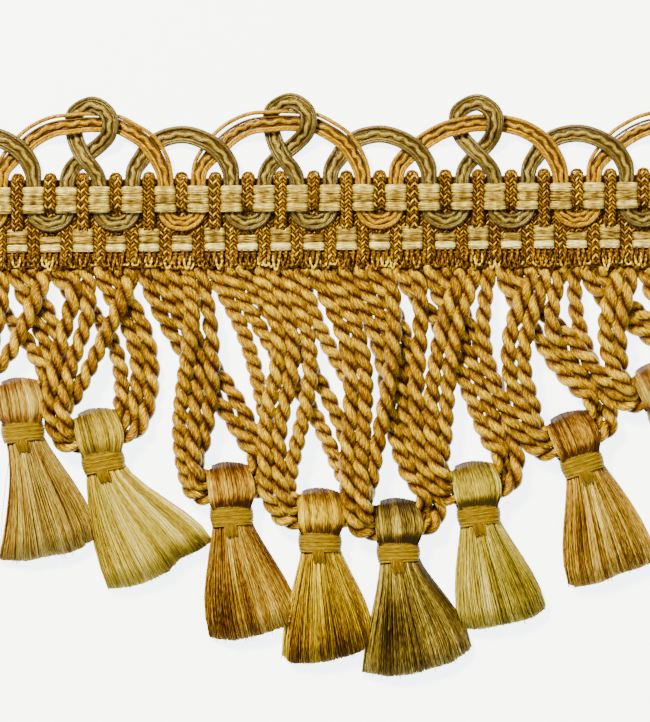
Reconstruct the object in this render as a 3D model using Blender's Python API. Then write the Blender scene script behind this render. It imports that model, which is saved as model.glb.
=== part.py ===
"""A length of tassel fringe, lying flat and face up.

The woven heading runs along X and the tassels hang toward -Y. The origin is under
the middle of the whole length, on the surface that it lies on. Sizes are typed in
millimetres: "across" is along X from the middle of the length, and "drop" is the way
down from the line where the bullion cords are sewn on.
"""
import math

import bmesh
import bpy
import numpy as np
from mathutils import Matrix, Vector

MM = 0.001

# The whole length, and where its parts lie down from the root line
LEFT_END = -74.7              # across, of the heading's two cut ends
RIGHT_END = 69.7
MIDDLE_ACROSS = 4.05          # across that becomes x = 0
MIDDLE_DROP = 24.09           # drop that becomes y = 0
TOUCH = 0.3                   # gap between pieces that lie against each other

# Woven heading
HEAD_TOP_DROP = -17.2
HEAD_LOW_DROP = -2.4
SLAB_THICK = 1.15
BRICK_PITCH = 6.57
BRICK_FIRST = -58.1           # across, of the first whole brick in the upper row
COLUMN_WIDE = 2.05
TUNNEL_ROOF = 2.9
UPPER_DROP = (-15.6, -10.3)
LOWER_DROP = (-7.2, -2.6)
LOWER_SHIFT = -2.9
YARN_RELIEF = 0.28

# Scroll gimp
REPEAT = 39.4
BAND_THICK = 1.15
BAND_HALF_WIDE = 1.8
BAND_HALF_NARROW = 1.4
UNDER = BAND_THICK / 2
OVER = UNDER + BAND_THICK + TOUCH
IN_TUNNEL = SLAB_THICK + TOUCH + BAND_THICK / 2

# Bullion cords and the narrow strip that they are sewn to
CORD_RADIUS = 1.3
CORD_RADIUS_IN_EYE = 1.02
CORD_STEP = 1.2               # spacing of the points while the cords settle
CORD_SECTION_STEP = 2          # every second point gets a section
CORD_TURN = math.radians(44)   # twist from one section to the next
CORD_GAP = 0.25
STRIP_DROP = (-2.1, 0.7)
STRIP_THICK = 2.7

# Tassels
EYE_HEIGHT = 1.55              # half of the way that an eye is open, up and down
EYE_LONG = 7.3
EYE_PITCH = 2.3
EYE_Z = 3.4
WALL = 1.3
NECK_LONG = 4.6
NECK_HALF_DEEP = 2.1
BINDING_THICK = 0.7
LOCK_COLUMNS = 10


def mm(across, drop, z):
    """A point of the trim, typed in millimetres, in metres of the shared frame."""
    return Vector(((across - MIDDLE_ACROSS) * MM, (MIDDLE_DROP - drop) * MM, z * MM))


def material(name, color, roughness, sheen=0.3):
    made = bpy.data.materials.new(name)
    made.use_nodes = True
    shader = made.node_tree.nodes["Principled BSDF"]
    shader.inputs["Base Color"].default_value = (*color, 1)
    shader.inputs["Roughness"].default_value = roughness
    shader.inputs["Metallic"].default_value = 0
    shader.inputs["Sheen Weight"].default_value = sheen
    return made


def add_object(name, bm, look):
    """Close a bmesh into a named object, with its faces turned outward."""
    bmesh.ops.recalc_face_normals(bm, faces=bm.faces)
    mesh = bpy.data.meshes.new(name)
    bm.to_mesh(mesh)
    bm.free()
    mesh.materials.append(look)
    made = bpy.data.objects.new(name, mesh)
    bpy.context.collection.objects.link(made)
    return made


def loft(bm, rings):
    """Join rings of equally many points into one closed skin with capped ends."""
    made = [[bm.verts.new(point) for point in ring] for ring in rings]
    for near, far in zip(made, made[1:]):
        for i in range(len(near)):
            j = (i + 1) % len(near)
            bm.faces.new((near[i], near[j], far[j], far[i]))
    bm.faces.new(list(reversed(made[0])))
    bm.faces.new(made[-1])


def smooth_path(knots, step):
    """Points about one step apart on a smooth curve through the knots (x, y, z, ...)."""
    knots = np.array(knots, dtype=float)
    ends = np.vstack([2 * knots[0] - knots[1], knots, 2 * knots[-1] - knots[-2]])
    dense = []
    for k in range(1, len(ends) - 2):
        a, b, c, d = ends[k - 1:k + 3]
        for t in np.linspace(0, 1, 24, endpoint=False):
            dense.append(0.5 * (2 * b + (c - a) * t + (2 * a - 5 * b + 4 * c - d) * t ** 2
                                + (3 * b - a - 3 * c + d) * t ** 3))
    dense.append(ends[-2])
    dense = np.array(dense)
    run = np.concatenate([[0], np.cumsum(np.linalg.norm(np.diff(dense[:, :2], axis=0), axis=1))])
    count = max(2, int(round(run[-1] / step)) + 1)
    even = np.linspace(0, run[-1], count)
    return np.stack([np.interp(even, run, dense[:, k]) for k in range(dense.shape[1])], axis=1)


def union(base, others):
    """Weld the other objects into the base and remove them."""
    for other in others:
        weld = base.modifiers.new("weld", "BOOLEAN")
        weld.operation = "UNION"
        weld.solver = "EXACT"
        weld.object = other
        other.hide_render = True
        other.display_type = "WIRE"
    bpy.context.view_layer.update()
    depsgraph = bpy.context.evaluated_depsgraph_get()
    welded = bpy.data.meshes.new_from_object(base.evaluated_get(depsgraph))
    base.modifiers.clear()
    base.data = welded
    for other in others:
        bpy.data.objects.remove(other)


for old in list(bpy.data.objects):
    bpy.data.objects.remove(old)

IVORY_SATIN = material("ivory_satin", (0.62, 0.50, 0.27), 0.45)
GOLD_GIMP = material("gold_gimp", (0.50, 0.28, 0.07), 0.42)
OLIVE_GIMP = material("olive_gimp", (0.22, 0.17, 0.08), 0.45)
BULLION = material("bullion", (0.42, 0.28, 0.12), 0.5)
BINDING = material("gold_thread", (0.52, 0.30, 0.07), 0.4)
TASSEL_COLOURS = (
    (0.50, 0.38, 0.22), (0.58, 0.48, 0.24), (0.42, 0.24, 0.12), (0.55, 0.33, 0.08),
    (0.34, 0.26, 0.13), (0.52, 0.43, 0.18), (0.46, 0.24, 0.10), (0.50, 0.38, 0.22),
)

# Woven heading: a flat band, columns of gold warp, and bricks of satin weft. The upper
# bricks bridge from column to column over the scroll gimp.
brick_numbers = range(-2, 20)
column_numbers = range(-3, 20)


def column_across(k):
    return BRICK_FIRST + (k + 0.5) * BRICK_PITCH


def carries_u(k):
    """Every second column has a loop of gimp turning below it."""
    return k % 2 == 0


def heading_outline():
    """The flat band's edge, with a small scallop of weft above each column."""
    points = [(RIGHT_END, HEAD_LOW_DROP), (LEFT_END, HEAD_LOW_DROP), (LEFT_END, HEAD_TOP_DROP)]
    for k in column_numbers[1:-1]:
        centre = column_across(k)
        points += [(centre - 1.5, HEAD_TOP_DROP), (centre - 0.9, HEAD_TOP_DROP - 0.8),
                   (centre + 0.9, HEAD_TOP_DROP - 0.8), (centre + 1.5, HEAD_TOP_DROP)]
    points.append((RIGHT_END, HEAD_TOP_DROP))
    return points


def ribbed_column(bm, centre, drops):
    """A column of three warp cords between the bricks."""
    left = max(centre - COLUMN_WIDE / 2, LEFT_END)
    right = min(centre + COLUMN_WIDE / 2, RIGHT_END)
    foot = SLAB_THICK - 0.3
    profile = [(left, foot), (left, 3.0)]
    if right - left > 2:
        profile += [(centre - 0.68, 3.12), (centre - 0.34, 2.85), (centre, 3.12),
                    (centre + 0.34, 2.85), (centre + 0.68, 3.12)]
    profile += [(right, 3.0), (right, foot)]
    loft(bm, [[mm(x, drop, z) for x, z in profile] for drop in drops])


def satin_brick(bm, centre, half, drops, low, high, yarns):
    """A block of weft floats lying across the heading, one ridge a yarn."""
    profile = [(drops[0], low), (drops[0], high - 2 * YARN_RELIEF)]
    yarn = (drops[1] - drops[0]) / yarns
    for n in range(yarns):
        start = drops[0] + n * yarn
        profile.append((start + 0.5 * yarn, high))
        if n < yarns - 1:
            profile.append((start + yarn, high - YARN_RELIEF))
    profile += [(drops[1], high - 2 * YARN_RELIEF), (drops[1], low)]
    left = max(centre - half, LEFT_END)
    right = min(centre + half, RIGHT_END)
    loft(bm, [[mm(x, drop, z) for drop, z in profile] for x in (left, right)])


def make_heading():
    bm = bmesh.new()
    outline = heading_outline()
    loft(bm, [[mm(x, drop, z) for x, drop in outline] for z in (0, SLAB_THICK)])
    base = add_object("heading_braid", bm, IVORY_SATIN)

    bm = bmesh.new()
    for k in column_numbers:
        low_end = UPPER_DROP[1] - 0.1 if carries_u(k) else LOWER_DROP[0] + 0.3
        ribbed_column(bm, column_across(k), (HEAD_TOP_DROP + 0.5, low_end))
    columns = add_object("columns", bm, IVORY_SATIN)

    bm = bmesh.new()
    half = (BRICK_PITCH - COLUMN_WIDE) / 2 + 0.2
    for k in brick_numbers:
        satin_brick(bm, BRICK_FIRST + k * BRICK_PITCH, half, UPPER_DROP, TUNNEL_ROOF, 3.75, 3)
    upper = add_object("upper_bricks", bm, IVORY_SATIN)

    bm = bmesh.new()
    for k in column_numbers[1:-1]:
        top = LOWER_DROP[0] + (1.3 if carries_u(k) else 0)
        yarns = 2 if carries_u(k) else 3
        satin_brick(bm, column_across(k), 2.25, (top, LOWER_DROP[1]), SLAB_THICK - 0.3, 2.75, yarns)
    lower = add_object("lower_bricks", bm, IVORY_SATIN)

    union(base, [columns, upper, lower])
    return base


make_heading()

# Scroll gimp. Both bands turn in a U below every second column, pass through the tunnels
# under the bricks, and lie on the surface above the heading. The knots count across from
# the U's own column: across, drop, height of the band's middle, half width.
WIDE, SLIM = BAND_HALF_WIDE, BAND_HALF_NARROW
TUNNEL = BRICK_PITCH / 2

U_TURN = (
    (-TUNNEL, -12.0, IN_TUNNEL, SLIM),
    (-TUNNEL + 0.1, -10.0, IN_TUNNEL, SLIM),
    (-2.0, -8.6, IN_TUNNEL, SLIM),
    (0.0, -8.05, IN_TUNNEL, SLIM),
    (2.0, -8.6, IN_TUNNEL, SLIM),
    (TUNNEL - 0.1, -10.0, IN_TUNNEL, SLIM),
    (TUNNEL, -12.0, IN_TUNNEL, SLIM),
    (TUNNEL, -15.5, IN_TUNNEL, SLIM),
)
GOLD_ARCH = (
    (3.6, -18.7, IN_TUNNEL + 0.1, 1.6),
    (5.1, -21.0, UNDER, WIDE),
    (8.0, -23.8, UNDER, WIDE),
    (10.6, -25.7, UNDER, WIDE),
    (13.2, -27.0, OVER, WIDE),
    (15.6, -27.6, OVER, WIDE),
    (18.2, -28.1, OVER, WIDE),
    (21.5, -28.2, 1.4, WIDE),
    (24.4, -28.0, 1.3, WIDE),
    (28.8, -26.8, OVER, WIDE),
    (32.4, -24.4, OVER, WIDE),
    (35.0, -20.6, OVER, WIDE),
    (REPEAT - TUNNEL, -17.0, IN_TUNNEL, 1.6),
)
OLIVE_LOOP = (
    (3.6, -17.8, IN_TUNNEL, 1.5),
    (4.7, -19.8, 0.7, 1.6),
    (6.7, -22.0, UNDER, 1.6),
    (8.6, -24.2, 1.1, 1.6),
    (9.5, -26.4, 3.0, 1.6),
    (9.4, -30.0, 3.05, 1.6),
    (6.2, -32.2, 2.3, 1.6),
    (2.6, -30.6, UNDER, 1.6),
    (2.2, -27.8, UNDER, 1.6),
    (3.2, -25.2, UNDER, 1.6),
    (5.4, -22.6, OVER, 1.6),
    (7.4, -20.6, OVER + 0.5, 1.5),
    (9.0, -18.6, OVER + 0.4, 1.5),
    (3 * TUNNEL, -16.4, IN_TUNNEL, SLIM),
)
OLIVE_ARCH = (
    (3.6, -18.7, IN_TUNNEL + 0.1, 1.6),
    (4.9, -21.0, UNDER, WIDE),
    (6.8, -23.6, UNDER, WIDE),
    (9.8, -25.4, 0.7, WIDE),
    (13.8, -25.9, 1.3, WIDE),
    (17.8, -24.6, OVER, WIDE),
    (20.8, -22.4, OVER, WIDE),
    (22.6, -19.4, OVER, WIDE),
    (7 * TUNNEL, -16.6, IN_TUNNEL, 1.5),
)
GOLD_PARTS = ((0, U_TURN), (0, GOLD_ARCH))
OLIVE_PARTS = ((0, U_TURN), (0, OLIVE_LOOP), (4 * TUNNEL, U_TURN), (4 * TUNNEL, OLIVE_ARCH))


def gimp_path(parts, first_column, step):
    """The band's whole run, repeated along the trim and ended at the two cuts."""
    knots = []
    for repeat in range(-1, 5):
        start = column_across(first_column + 6 * repeat)
        for shift, part in parts:
            knots += [(start + shift + x, drop, z, half) for x, drop, z, half in part]
    path = smooth_path(knots, step)
    over_heading = path[:, 1] > HEAD_TOP_DROP - 1.9
    path[:, 2] = np.maximum(path[:, 2], np.where(over_heading, IN_TUNNEL, UNDER))
    inside = (path[:, 0] > LEFT_END + 1.8) & (path[:, 0] < RIGHT_END - 1.8)
    runs, start = [], None
    for i, value in enumerate(list(inside) + [False]):
        if value and start is None:
            start = i
        if not value and start is not None:
            runs.append((i - start, start, i))
            start = None
    longest = max(runs)
    return path[longest[1]:longest[2]]


def gimp_band(name, parts, first_column, look):
    """A flat band with two raised edges, swept along its path."""
    path = gimp_path(parts, first_column, 2.3)
    rings = []
    for i, (x, drop, z, half) in enumerate(path):
        before, after = path[max(i - 1, 0)], path[min(i + 1, len(path) - 1)]
        along = Vector((after[0] - before[0], after[1] - before[1])).normalized()
        side = Vector((-along.y, along.x))
        section = ((-half, -0.5), (half, -0.5), (0.7 * half, 0.5), (0, 0.28), (-0.7 * half, 0.5))
        rings.append([mm(x + side.x * out, drop + side.y * out, z + up * BAND_THICK)
                      for out, up in section])
    bm = bmesh.new()
    loft(bm, rings)
    return add_object(name, bm, look)


gimp_band("scroll_gold", GOLD_PARTS, -2, GOLD_GIMP)
gimp_band("scroll_olive", OLIVE_PARTS, 0, OLIVE_GIMP)

# Where each tassel's neck is, how far it leans to the right, and the two lower corners of
# its skirt: neck across, neck drop, lean, left corner, right corner.
TASSELS = (
    (-60.2, 33.2, 8, (-65.0, 59.4), (-47.4, 54.4)),
    (-44.2, 39.2, 12, (-44.2, 64.8), (-24.4, 56.6)),
    (-18.6, 50.0, 6, (-23.0, 74.6), (-8.8, 71.4)),
    (-1.0, 55.2, 2, (-7.2, 79.0), (7.0, 77.4)),
    (14.6, 57.2, 4, (8.6, 82.0), (26.0, 78.2)),
    (30.6, 49.8, 9, (28.2, 73.2), (43.4, 69.6)),
    (51.2, 39.6, 20, (49.6, 64.4), (65.4, 59.8)),
    (68.6, 29.6, 23, (68.8, 54.0), (83.0, 49.0)),
)
HEAD_HALF_WIDE = 3.9
NECK_HALF_WIDE = 3.5
EYE_MIDDLE = -6.1              # along the tassel from its neck, up being negative

# Each cord's way from its root to its tassel, in order along the strip. Side -1 enters the
# tassel's eye from the left and +1 from the right, slot 1 is the eye's lowest and 3 its
# highest. Then come sway, hang and turn (each across, drop), and the layer of the first two.
BACK, FRONT, TOP = 1.5, 4.5, 7.3
CORDS = (
    (0, +1, 3, (-65.0, 8.0), (-57.8, 16.5), (-56.0, 22.0), BACK, BACK),
    (0, -1, 1, (-66.6, 7.0), (-69.8, 18.0), (-69.2, 26.0), FRONT, FRONT),
    (0, -1, 2, (-63.6, 8.0), (-67.0, 17.0), (-66.8, 24.6), FRONT, FRONT),
    (0, +1, 2, (-56.6, 11.4), (-55.0, 17.0), (-54.6, 23.6), BACK, BACK),
    (0, +1, 1, (-55.0, 10.0), (-52.6, 17.0), (-53.4, 26.0), BACK, BACK),
    (0, -1, 3, (-57.4, 6.0), (-61.8, 17.4), (-64.4, 22.4), FRONT, FRONT),
    (1, +1, 3, (-44.0, 10.8), (-40.2, 20.0), (-40.0, 27.0), BACK, BACK),
    (1, -1, 1, (-49.6, 7.6), (-54.6, 20.4), (-56.0, 28.4), FRONT, FRONT),
    (1, -1, 2, (-46.2, 10.0), (-51.6, 21.4), (-53.0, 28.6), FRONT, FRONT),
    (1, +1, 2, (-38.8, 11.4), (-36.2, 22.0), (-37.4, 28.6), BACK, BACK),
    (1, +1, 1, (-36.4, 10.6), (-34.0, 20.6), (-35.6, 30.8), BACK, BACK),
    (1, -1, 3, (-39.6, 6.0), (-46.8, 20.4), (-50.0, 27.4), FRONT, FRONT),
    (2, +1, 3, (-31.2, 13.2), (-20.8, 27.8), (-14.8, 36.2), BACK, BACK),
    (2, +1, 2, (-27.4, 13.2), (-17.2, 27.0), (-12.6, 37.4), BACK, BACK),
    (2, -1, 2, (-25.4, 14.0), (-25.0, 25.4), (-26.4, 36.4), FRONT, FRONT),
    (2, -1, 1, (-25.8, 11.0), (-28.4, 27.6), (-28.6, 38.0), TOP, FRONT),
    (2, -1, 3, (-22.2, 14.0), (-23.2, 24.6), (-24.6, 34.4), FRONT, FRONT),
    (2, +1, 1, (-16.0, 13.0), (-12.4, 28.0), (-11.8, 40.0), BACK, BACK),
    (3, +1, 3, (-10.6, 16.6), (-1.4, 30.6), (3.2, 41.4), BACK, BACK),
    (3, +1, 2, (-5.0, 17.0), (3.6, 31.8), (5.6, 42.0), BACK, BACK),
    (3, -1, 1, (-8.2, 16.0), (-12.6, 32.0), (-12.6, 43.6), FRONT, FRONT),
    (3, -1, 2, (-5.4, 16.0), (-9.0, 30.6), (-10.0, 42.0), FRONT, FRONT),
    (3, -1, 3, (-2.2, 18.0), (-4.8, 32.6), (-7.4, 41.4), FRONT, FRONT),
    (3, +1, 1, (-1.8, 12.6), (7.2, 27.0), (7.6, 40.0), BACK, BACK),
    (4, -1, 1, (5.0, 16.0), (5.2, 29.4), (3.8, 42.6), FRONT, FRONT),
    (4, -1, 2, (7.8, 16.0), (8.0, 31.0), (6.4, 43.6), FRONT, FRONT),
    (4, +1, 3, (11.6, 13.0), (13.2, 28.6), (18.2, 43.4), BACK, BACK),
    (4, +1, 2, (13.8, 15.0), (15.8, 32.0), (20.2, 44.0), BACK, BACK),
    (4, +1, 1, (16.0, 15.0), (18.8, 35.0), (22.0, 46.6), BACK, BACK),
    (4, -1, 3, (14.0, 14.0), (11.2, 32.0), (8.8, 42.0), FRONT, FRONT),
    (5, +1, 3, (23.0, 11.0), (28.6, 24.0), (33.0, 35.4), BACK, BACK),
    (5, -1, 1, (19.2, 13.0), (17.8, 28.0), (19.2, 39.4), FRONT, FRONT),
    (5, +1, 2, (28.0, 16.0), (33.0, 28.6), (35.4, 36.8), BACK, BACK),
    (5, +1, 1, (29.4, 13.0), (35.4, 28.0), (37.4, 39.0), BACK, BACK),
    (5, -1, 2, (24.0, 10.2), (20.8, 27.0), (21.8, 38.0), FRONT, FRONT),
    (5, -1, 3, (25.4, 11.4), (24.4, 24.0), (23.6, 35.6), FRONT, FRONT),
    (6, -1, 1, (30.8, 15.0), (34.0, 25.4), (39.2, 33.6), FRONT, FRONT),
    (6, +1, 3, (40.8, 11.4), (47.0, 20.6), (51.6, 24.6), BACK, BACK),
    (7, -1, 1, (45.6, 12.0), (54.4, 20.6), (59.4, 26.0), BACK, FRONT),
    (6, -1, 2, (36.6, 11.4), (36.0, 22.6), (40.4, 31.0), FRONT, FRONT),
    (6, -1, 3, (40.2, 11.4), (38.4, 20.4), (41.8, 28.4), FRONT, FRONT),
    (6, +1, 2, (43.6, 12.0), (48.6, 19.0), (54.0, 25.6), FRONT, BACK),
    (6, +1, 1, (49.6, 12.0), (52.0, 19.4), (56.2, 28.2), BACK, BACK),
    (7, +1, 3, (60.0, 11.0), (66.0, 15.4), (70.4, 18.4), BACK, BACK),
    (7, +1, 2, (63.0, 10.4), (69.4, 14.6), (73.0, 19.4), BACK, BACK),
    (7, -1, 2, (55.6, 8.4), (54.8, 15.4), (58.4, 23.0), FRONT, FRONT),
    (7, -1, 3, (58.4, 9.0), (57.4, 15.0), (60.0, 20.2), FRONT, FRONT),
    (7, +1, 1, (63.4, 6.6), (70.4, 11.4), (75.2, 21.0), FRONT, BACK),
)
ROOT_FIRST = -70.4
ROOT_PITCH = 2.86
ROOT_RADIUS = 1.17


def tassel_point(number, along, out):
    """A point in a tassel's own directions: along it from the neck, and out to its right."""
    across, drop, lean = TASSELS[number][:3]
    turn = math.radians(lean)
    return (across + along * math.sin(turn) + out * math.cos(turn),
            drop + along * math.cos(turn) - out * math.sin(turn))


def eye_knots(number, side, slot):
    """The last points of a cord, from beside the tassel's head to the middle of its eye."""
    along = EYE_MIDDLE + (2 - slot) * EYE_PITCH
    beside = tassel_point(number, along - 1.2, side * 6.6)
    mouth = tassel_point(number, along, side * 4.3)
    middle = tassel_point(number, along, 0)
    layer = FRONT if side < 0 else BACK
    return [(*beside, (layer + EYE_Z) / 2, CORD_RADIUS), (*mouth, EYE_Z, CORD_RADIUS_IN_EYE),
            (*middle, EYE_Z, CORD_RADIUS_IN_EYE)]


def cord_paths():
    """One path a loop: down one cord, through the tassel's eye and up the other."""
    halves = {}
    for rank, (number, side, slot, sway, hang, turn, sway_z, hang_z) in enumerate(CORDS):
        root = ROOT_FIRST + rank * ROOT_PITCH
        turn_z = FRONT if side < 0 else BACK
        knots = [(root, STRIP_DROP[1], BACK, ROOT_RADIUS), (root, 2.4, BACK, ROOT_RADIUS),
                 (*sway, sway_z, CORD_RADIUS), (*hang, hang_z, CORD_RADIUS),
                 (*turn, turn_z, CORD_RADIUS)]
        halves[number, slot, side] = knots + eye_knots(number, side, slot)
    paths = []
    for number in range(len(TASSELS)):
        for slot in (1, 2, 3):
            left = halves[number, slot, -1]
            right = halves[number, slot, +1]
            paths.append(smooth_path(left + right[-2::-1], CORD_STEP))
    return paths


def push_from_heads(points, radii):
    """How far each point must move to clear every tassel's head and neck."""
    push = np.zeros_like(points)
    for across, drop, lean, _, _ in TASSELS:
        turn = math.radians(lean)
        along_way = np.array([math.sin(turn), math.cos(turn)])
        out_way = np.array([math.cos(turn), -math.sin(turn)])
        offset = points[:, :2] - np.array([across, drop])
        along = offset @ along_way
        out = offset @ out_way
        reach = HEAD_HALF_WIDE + radii + 2 * TOUCH
        head_top = EYE_MIDDLE - EYE_LONG / 2 - WALL - radii - TOUCH
        beside = reach - np.abs(out)
        above = along - head_top
        inside = (beside > 0) & (above > 0) & (along < 12)
        sideways = inside & (beside <= above)
        upward = inside & (beside > above)
        push[sideways, :2] += (np.sign(out) * beside)[sideways, None] * out_way
        push[upward, :2] -= above[upward, None] * along_way
    return push


def settle(paths):
    """Let the cords push each other aside until they lie clear, as soft cords do."""
    points = np.vstack([path[:, :3] for path in paths])
    radii = np.concatenate([path[:, 3] for path in paths])
    loop = np.concatenate([[n] * len(path) for n, path in enumerate(paths)])
    order = np.arange(len(points))
    held = radii < (ROOT_RADIUS + CORD_RADIUS_IN_EYE) / 2
    first = np.concatenate([[True], loop[1:] != loop[:-1]])
    last = np.concatenate([loop[1:] != loop[:-1], [True]])
    for shift in range(2):
        held |= np.roll(first, shift) | np.roll(last, -shift)
    free = ~held
    home = points.copy()
    need = radii[:, None] + radii[None, :] + CORD_GAP
    reach = need ** 2
    apart_in_run = (loop[:, None] != loop[None, :]) | (np.abs(order[:, None] - order[None, :]) > 5)
    inner = free & ~first & ~last
    for turn in range(180):
        settling = turn < 110
        length = (points ** 2).sum(axis=1)
        squared = length[:, None] + length[None, :] - 2 * points @ points.T
        one, other = np.nonzero((squared < reach) & apart_in_run)
        apart = points[one] - points[other]
        distance = np.sqrt((apart ** 2).sum(axis=1)) + 1e-9
        lack = need[one, other] - distance
        push = np.zeros_like(points)
        np.add.at(push, one, apart / distance[:, None] * lack[:, None])
        crowd = np.maximum(1, np.bincount(one, minlength=len(points)))
        move = 0.9 * push / crowd[:, None] ** 0.5
        bend = np.roll(points, 1, axis=0) + np.roll(points, -1, axis=0) - 2 * points
        move[inner] += (0.22 if settling else 0.02) * bend[inner]
        if settling:
            move += 0.015 * (home - points)
        move += 0.6 * push_from_heads(points, radii)
        points[free] += move[free]
        points[:, 2] = np.maximum(points[:, 2], radii + 0.03)
    settled, start = [], 0
    for path in paths:
        settled.append(np.column_stack([points[start:start + len(path)], path[:, 3]]))
        start += len(path)
    return settled


def cord_rings(path):
    """Three-sided sections turning along the path, so that the edges show the cord's twist."""
    rings = []
    picked = list(range(0, len(path) - 1, CORD_SECTION_STEP)) + [len(path) - 1]
    for step, i in enumerate(picked):
        before, after = path[max(i - 1, 0), :3], path[min(i + 1, len(path) - 1), :3]
        along = Vector(after - before).normalized()
        if i == 0:
            along = Vector((0, 1, 0))
        if i == len(path) - 1:
            along = Vector((0, -1, 0))
        side = along.cross(Vector((0, 0, 1))).normalized()
        lift = side.cross(along)
        middle, radius = Vector(path[i, :3]), float(path[i, 3])
        ring = []
        for corner in range(3):
            angle = step * CORD_TURN + corner * 2 * math.pi / 3
            corner_way = math.cos(angle) * side + math.sin(angle) * lift
            ring.append(mm(*(middle + radius * corner_way)))
        rings.append(ring)
    return rings


def fill_around(bm, frame, hole):
    """Fill the wall between a cell's four corners and the root of the cord in it."""
    middle = sum((v.co for v in hole), Vector()) / len(hole)
    turns = [(math.atan2(v.co.z - middle.z, v.co.x - middle.x), v in hole, v)
             for v in list(frame) + list(hole)]
    turns.sort(key=lambda item: item[0])
    outer = [v for _, in_hole, v in turns if not in_hole][-1]
    inner = [v for _, in_hole, v in turns if in_hole][-1]
    for _, in_hole, v in turns:
        bm.faces.new((outer, v, inner))
        if in_hole:
            inner = v
        else:
            outer = v


def make_bullion():
    """The sewn strip, one cell a root, with all of the cords' loops growing out of it."""
    bm = bmesh.new()
    rim = [(STRIP_DROP[0], 0), (STRIP_DROP[0], STRIP_THICK - 0.5),
           ((STRIP_DROP[0] + STRIP_DROP[1]) / 2, STRIP_THICK + 0.3),
           (STRIP_DROP[1], STRIP_THICK + 0.1), (STRIP_DROP[1], 0)]
    cells = [LEFT_END] + [ROOT_FIRST + (rank + 0.5) * ROOT_PITCH
                          for rank in range(len(CORDS) - 1)] + [RIGHT_END]
    rows = [[bm.verts.new(mm(x, drop, z)) for drop, z in rim] for x in cells]
    for near, far in zip(rows, rows[1:]):
        for i in (0, 1, 2, 4):
            j = (i + 1) % len(rim)
            bm.faces.new((near[i], near[j], far[j], far[i]))
    bm.faces.new(rows[0])
    bm.faces.new(rows[-1])
    ranks = {(number, slot, side): rank
             for rank, (number, side, slot, *_) in enumerate(CORDS)}
    loops = [(number, slot) for number in range(len(TASSELS)) for slot in (1, 2, 3)]
    for (number, slot), path in zip(loops, settle(cord_paths())):
        rings = [[bm.verts.new(point) for point in ring] for ring in cord_rings(path)]
        for near, far in zip(rings, rings[1:]):
            for i in range(3):
                j = (i + 1) % 3
                bm.faces.new((near[i], near[j], far[i]))
                bm.faces.new((near[j], far[j], far[i]))
        for side, root in ((-1, rings[0]), (+1, rings[-1])):
            rank = ranks[number, slot, side]
            corners = rows[rank][3:] + rows[rank + 1][3:]
            fill_around(bm, corners, root)
    add_object("bullion_fringe", bm, BULLION)


make_bullion()

def tassel_mm(number, along, out, z):
    return mm(*tassel_point(number, along, out), z)


def head_outline():
    """The folded yarn seen from its side, as (along, z): round at the top, slim at the neck."""
    top = EYE_MIDDLE - EYE_LONG / 2 - WALL
    neck = NECK_LONG / 2
    low, high = EYE_Z - EYE_HEIGHT - WALL, EYE_Z + EYE_HEIGHT + WALL
    return ((neck, EYE_Z - NECK_HALF_DEEP), (-neck, EYE_Z - NECK_HALF_DEEP),
            (-neck - 1.2, low), (top + 1.6, low), (top, EYE_Z - 1.3),
            (top, EYE_Z + 1.3), (top + 1.6, high), (-neck - 1.2, high),
            (-neck, EYE_Z + NECK_HALF_DEEP), (neck, EYE_Z + NECK_HALF_DEEP))


def eye_outline():
    near, far = EYE_MIDDLE + EYE_LONG / 2, EYE_MIDDLE - EYE_LONG / 2
    low, high = EYE_Z - EYE_HEIGHT, EYE_Z + EYE_HEIGHT
    return ((near, EYE_Z - 0.7), (near - 0.9, low), (far + 0.9, low), (far, EYE_Z - 0.7),
            (far, EYE_Z + 0.7), (far + 0.9, high), (near - 0.9, high), (near, EYE_Z + 0.7))


def head_half_width(along):
    """Narrow at the neck, full beside the eye."""
    return NECK_HALF_WIDE if along > -NECK_LONG / 2 - 0.2 else HEAD_HALF_WIDE


def make_head(number, look):
    bm = bmesh.new()
    loft(bm, [[tassel_mm(number, along, side * head_half_width(along), z)
               for along, z in head_outline()] for side in (-1, 1)])
    head = add_object(f"tassel_{number}", bm, look)
    bm = bmesh.new()
    loft(bm, [[tassel_mm(number, along, out, z) for along, z in eye_outline()]
              for out in (-HEAD_HALF_WIDE - 1, HEAD_HALF_WIDE + 1)])
    eye = add_object("eye", bm, look)
    cut = head.modifiers.new("eye", "BOOLEAN")
    cut.operation = "DIFFERENCE"
    cut.solver = "EXACT"
    cut.object = eye
    bpy.context.view_layer.update()
    opened = bpy.data.meshes.new_from_object(
        head.evaluated_get(bpy.context.evaluated_depsgraph_get()))
    head.modifiers.clear()
    head.data = opened
    bpy.data.objects.remove(eye)
    return head


def lock_rings(number, share, upper):
    """One combed lock of the skirt: three-sided, flat below, from the neck to the floor."""
    left, right = (Vector(corner) for corner in TASSELS[number][3:5])
    tip = left.lerp(right, share)
    fan = share - 0.5
    start = Vector(tassel_point(number, NECK_LONG / 2 - 0.45, fan * 6.1))
    neck = Vector(tassel_point(number, 0, 0))
    down = (left.lerp(right, 0.5) - neck).normalized()
    bend = neck + 9.0 * down + fan * 9.4 * Vector((down.y, -down.x))
    neck_z, floor_z = (3.75, 1.45) if upper else (1.75, 0.0)
    if upper:
        tip = start.lerp(tip, 0.96)
    spread = (right - left).length / LOCK_COLUMNS
    rings = []
    for t in (0, 0.22, 0.5, 1):
        middle = start * (1 - t) ** 2 + bend * 2 * t * (1 - t) + tip * t ** 2
        way = ((bend - start) * (1 - t) + (tip - bend) * t).normalized()
        out = Vector((way.y, -way.x))
        half = 0.23 + (0.39 * spread - 0.23) * t
        high = 0.75 + 0.4 * t
        z = neck_z + (floor_z - neck_z) * min(1, t / 0.5)
        left_foot, right_foot = middle - out * half, middle + out * half
        rings.append([mm(*left_foot, z), mm(*right_foot, z), mm(*middle, z + high)])
    return rings


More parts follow.
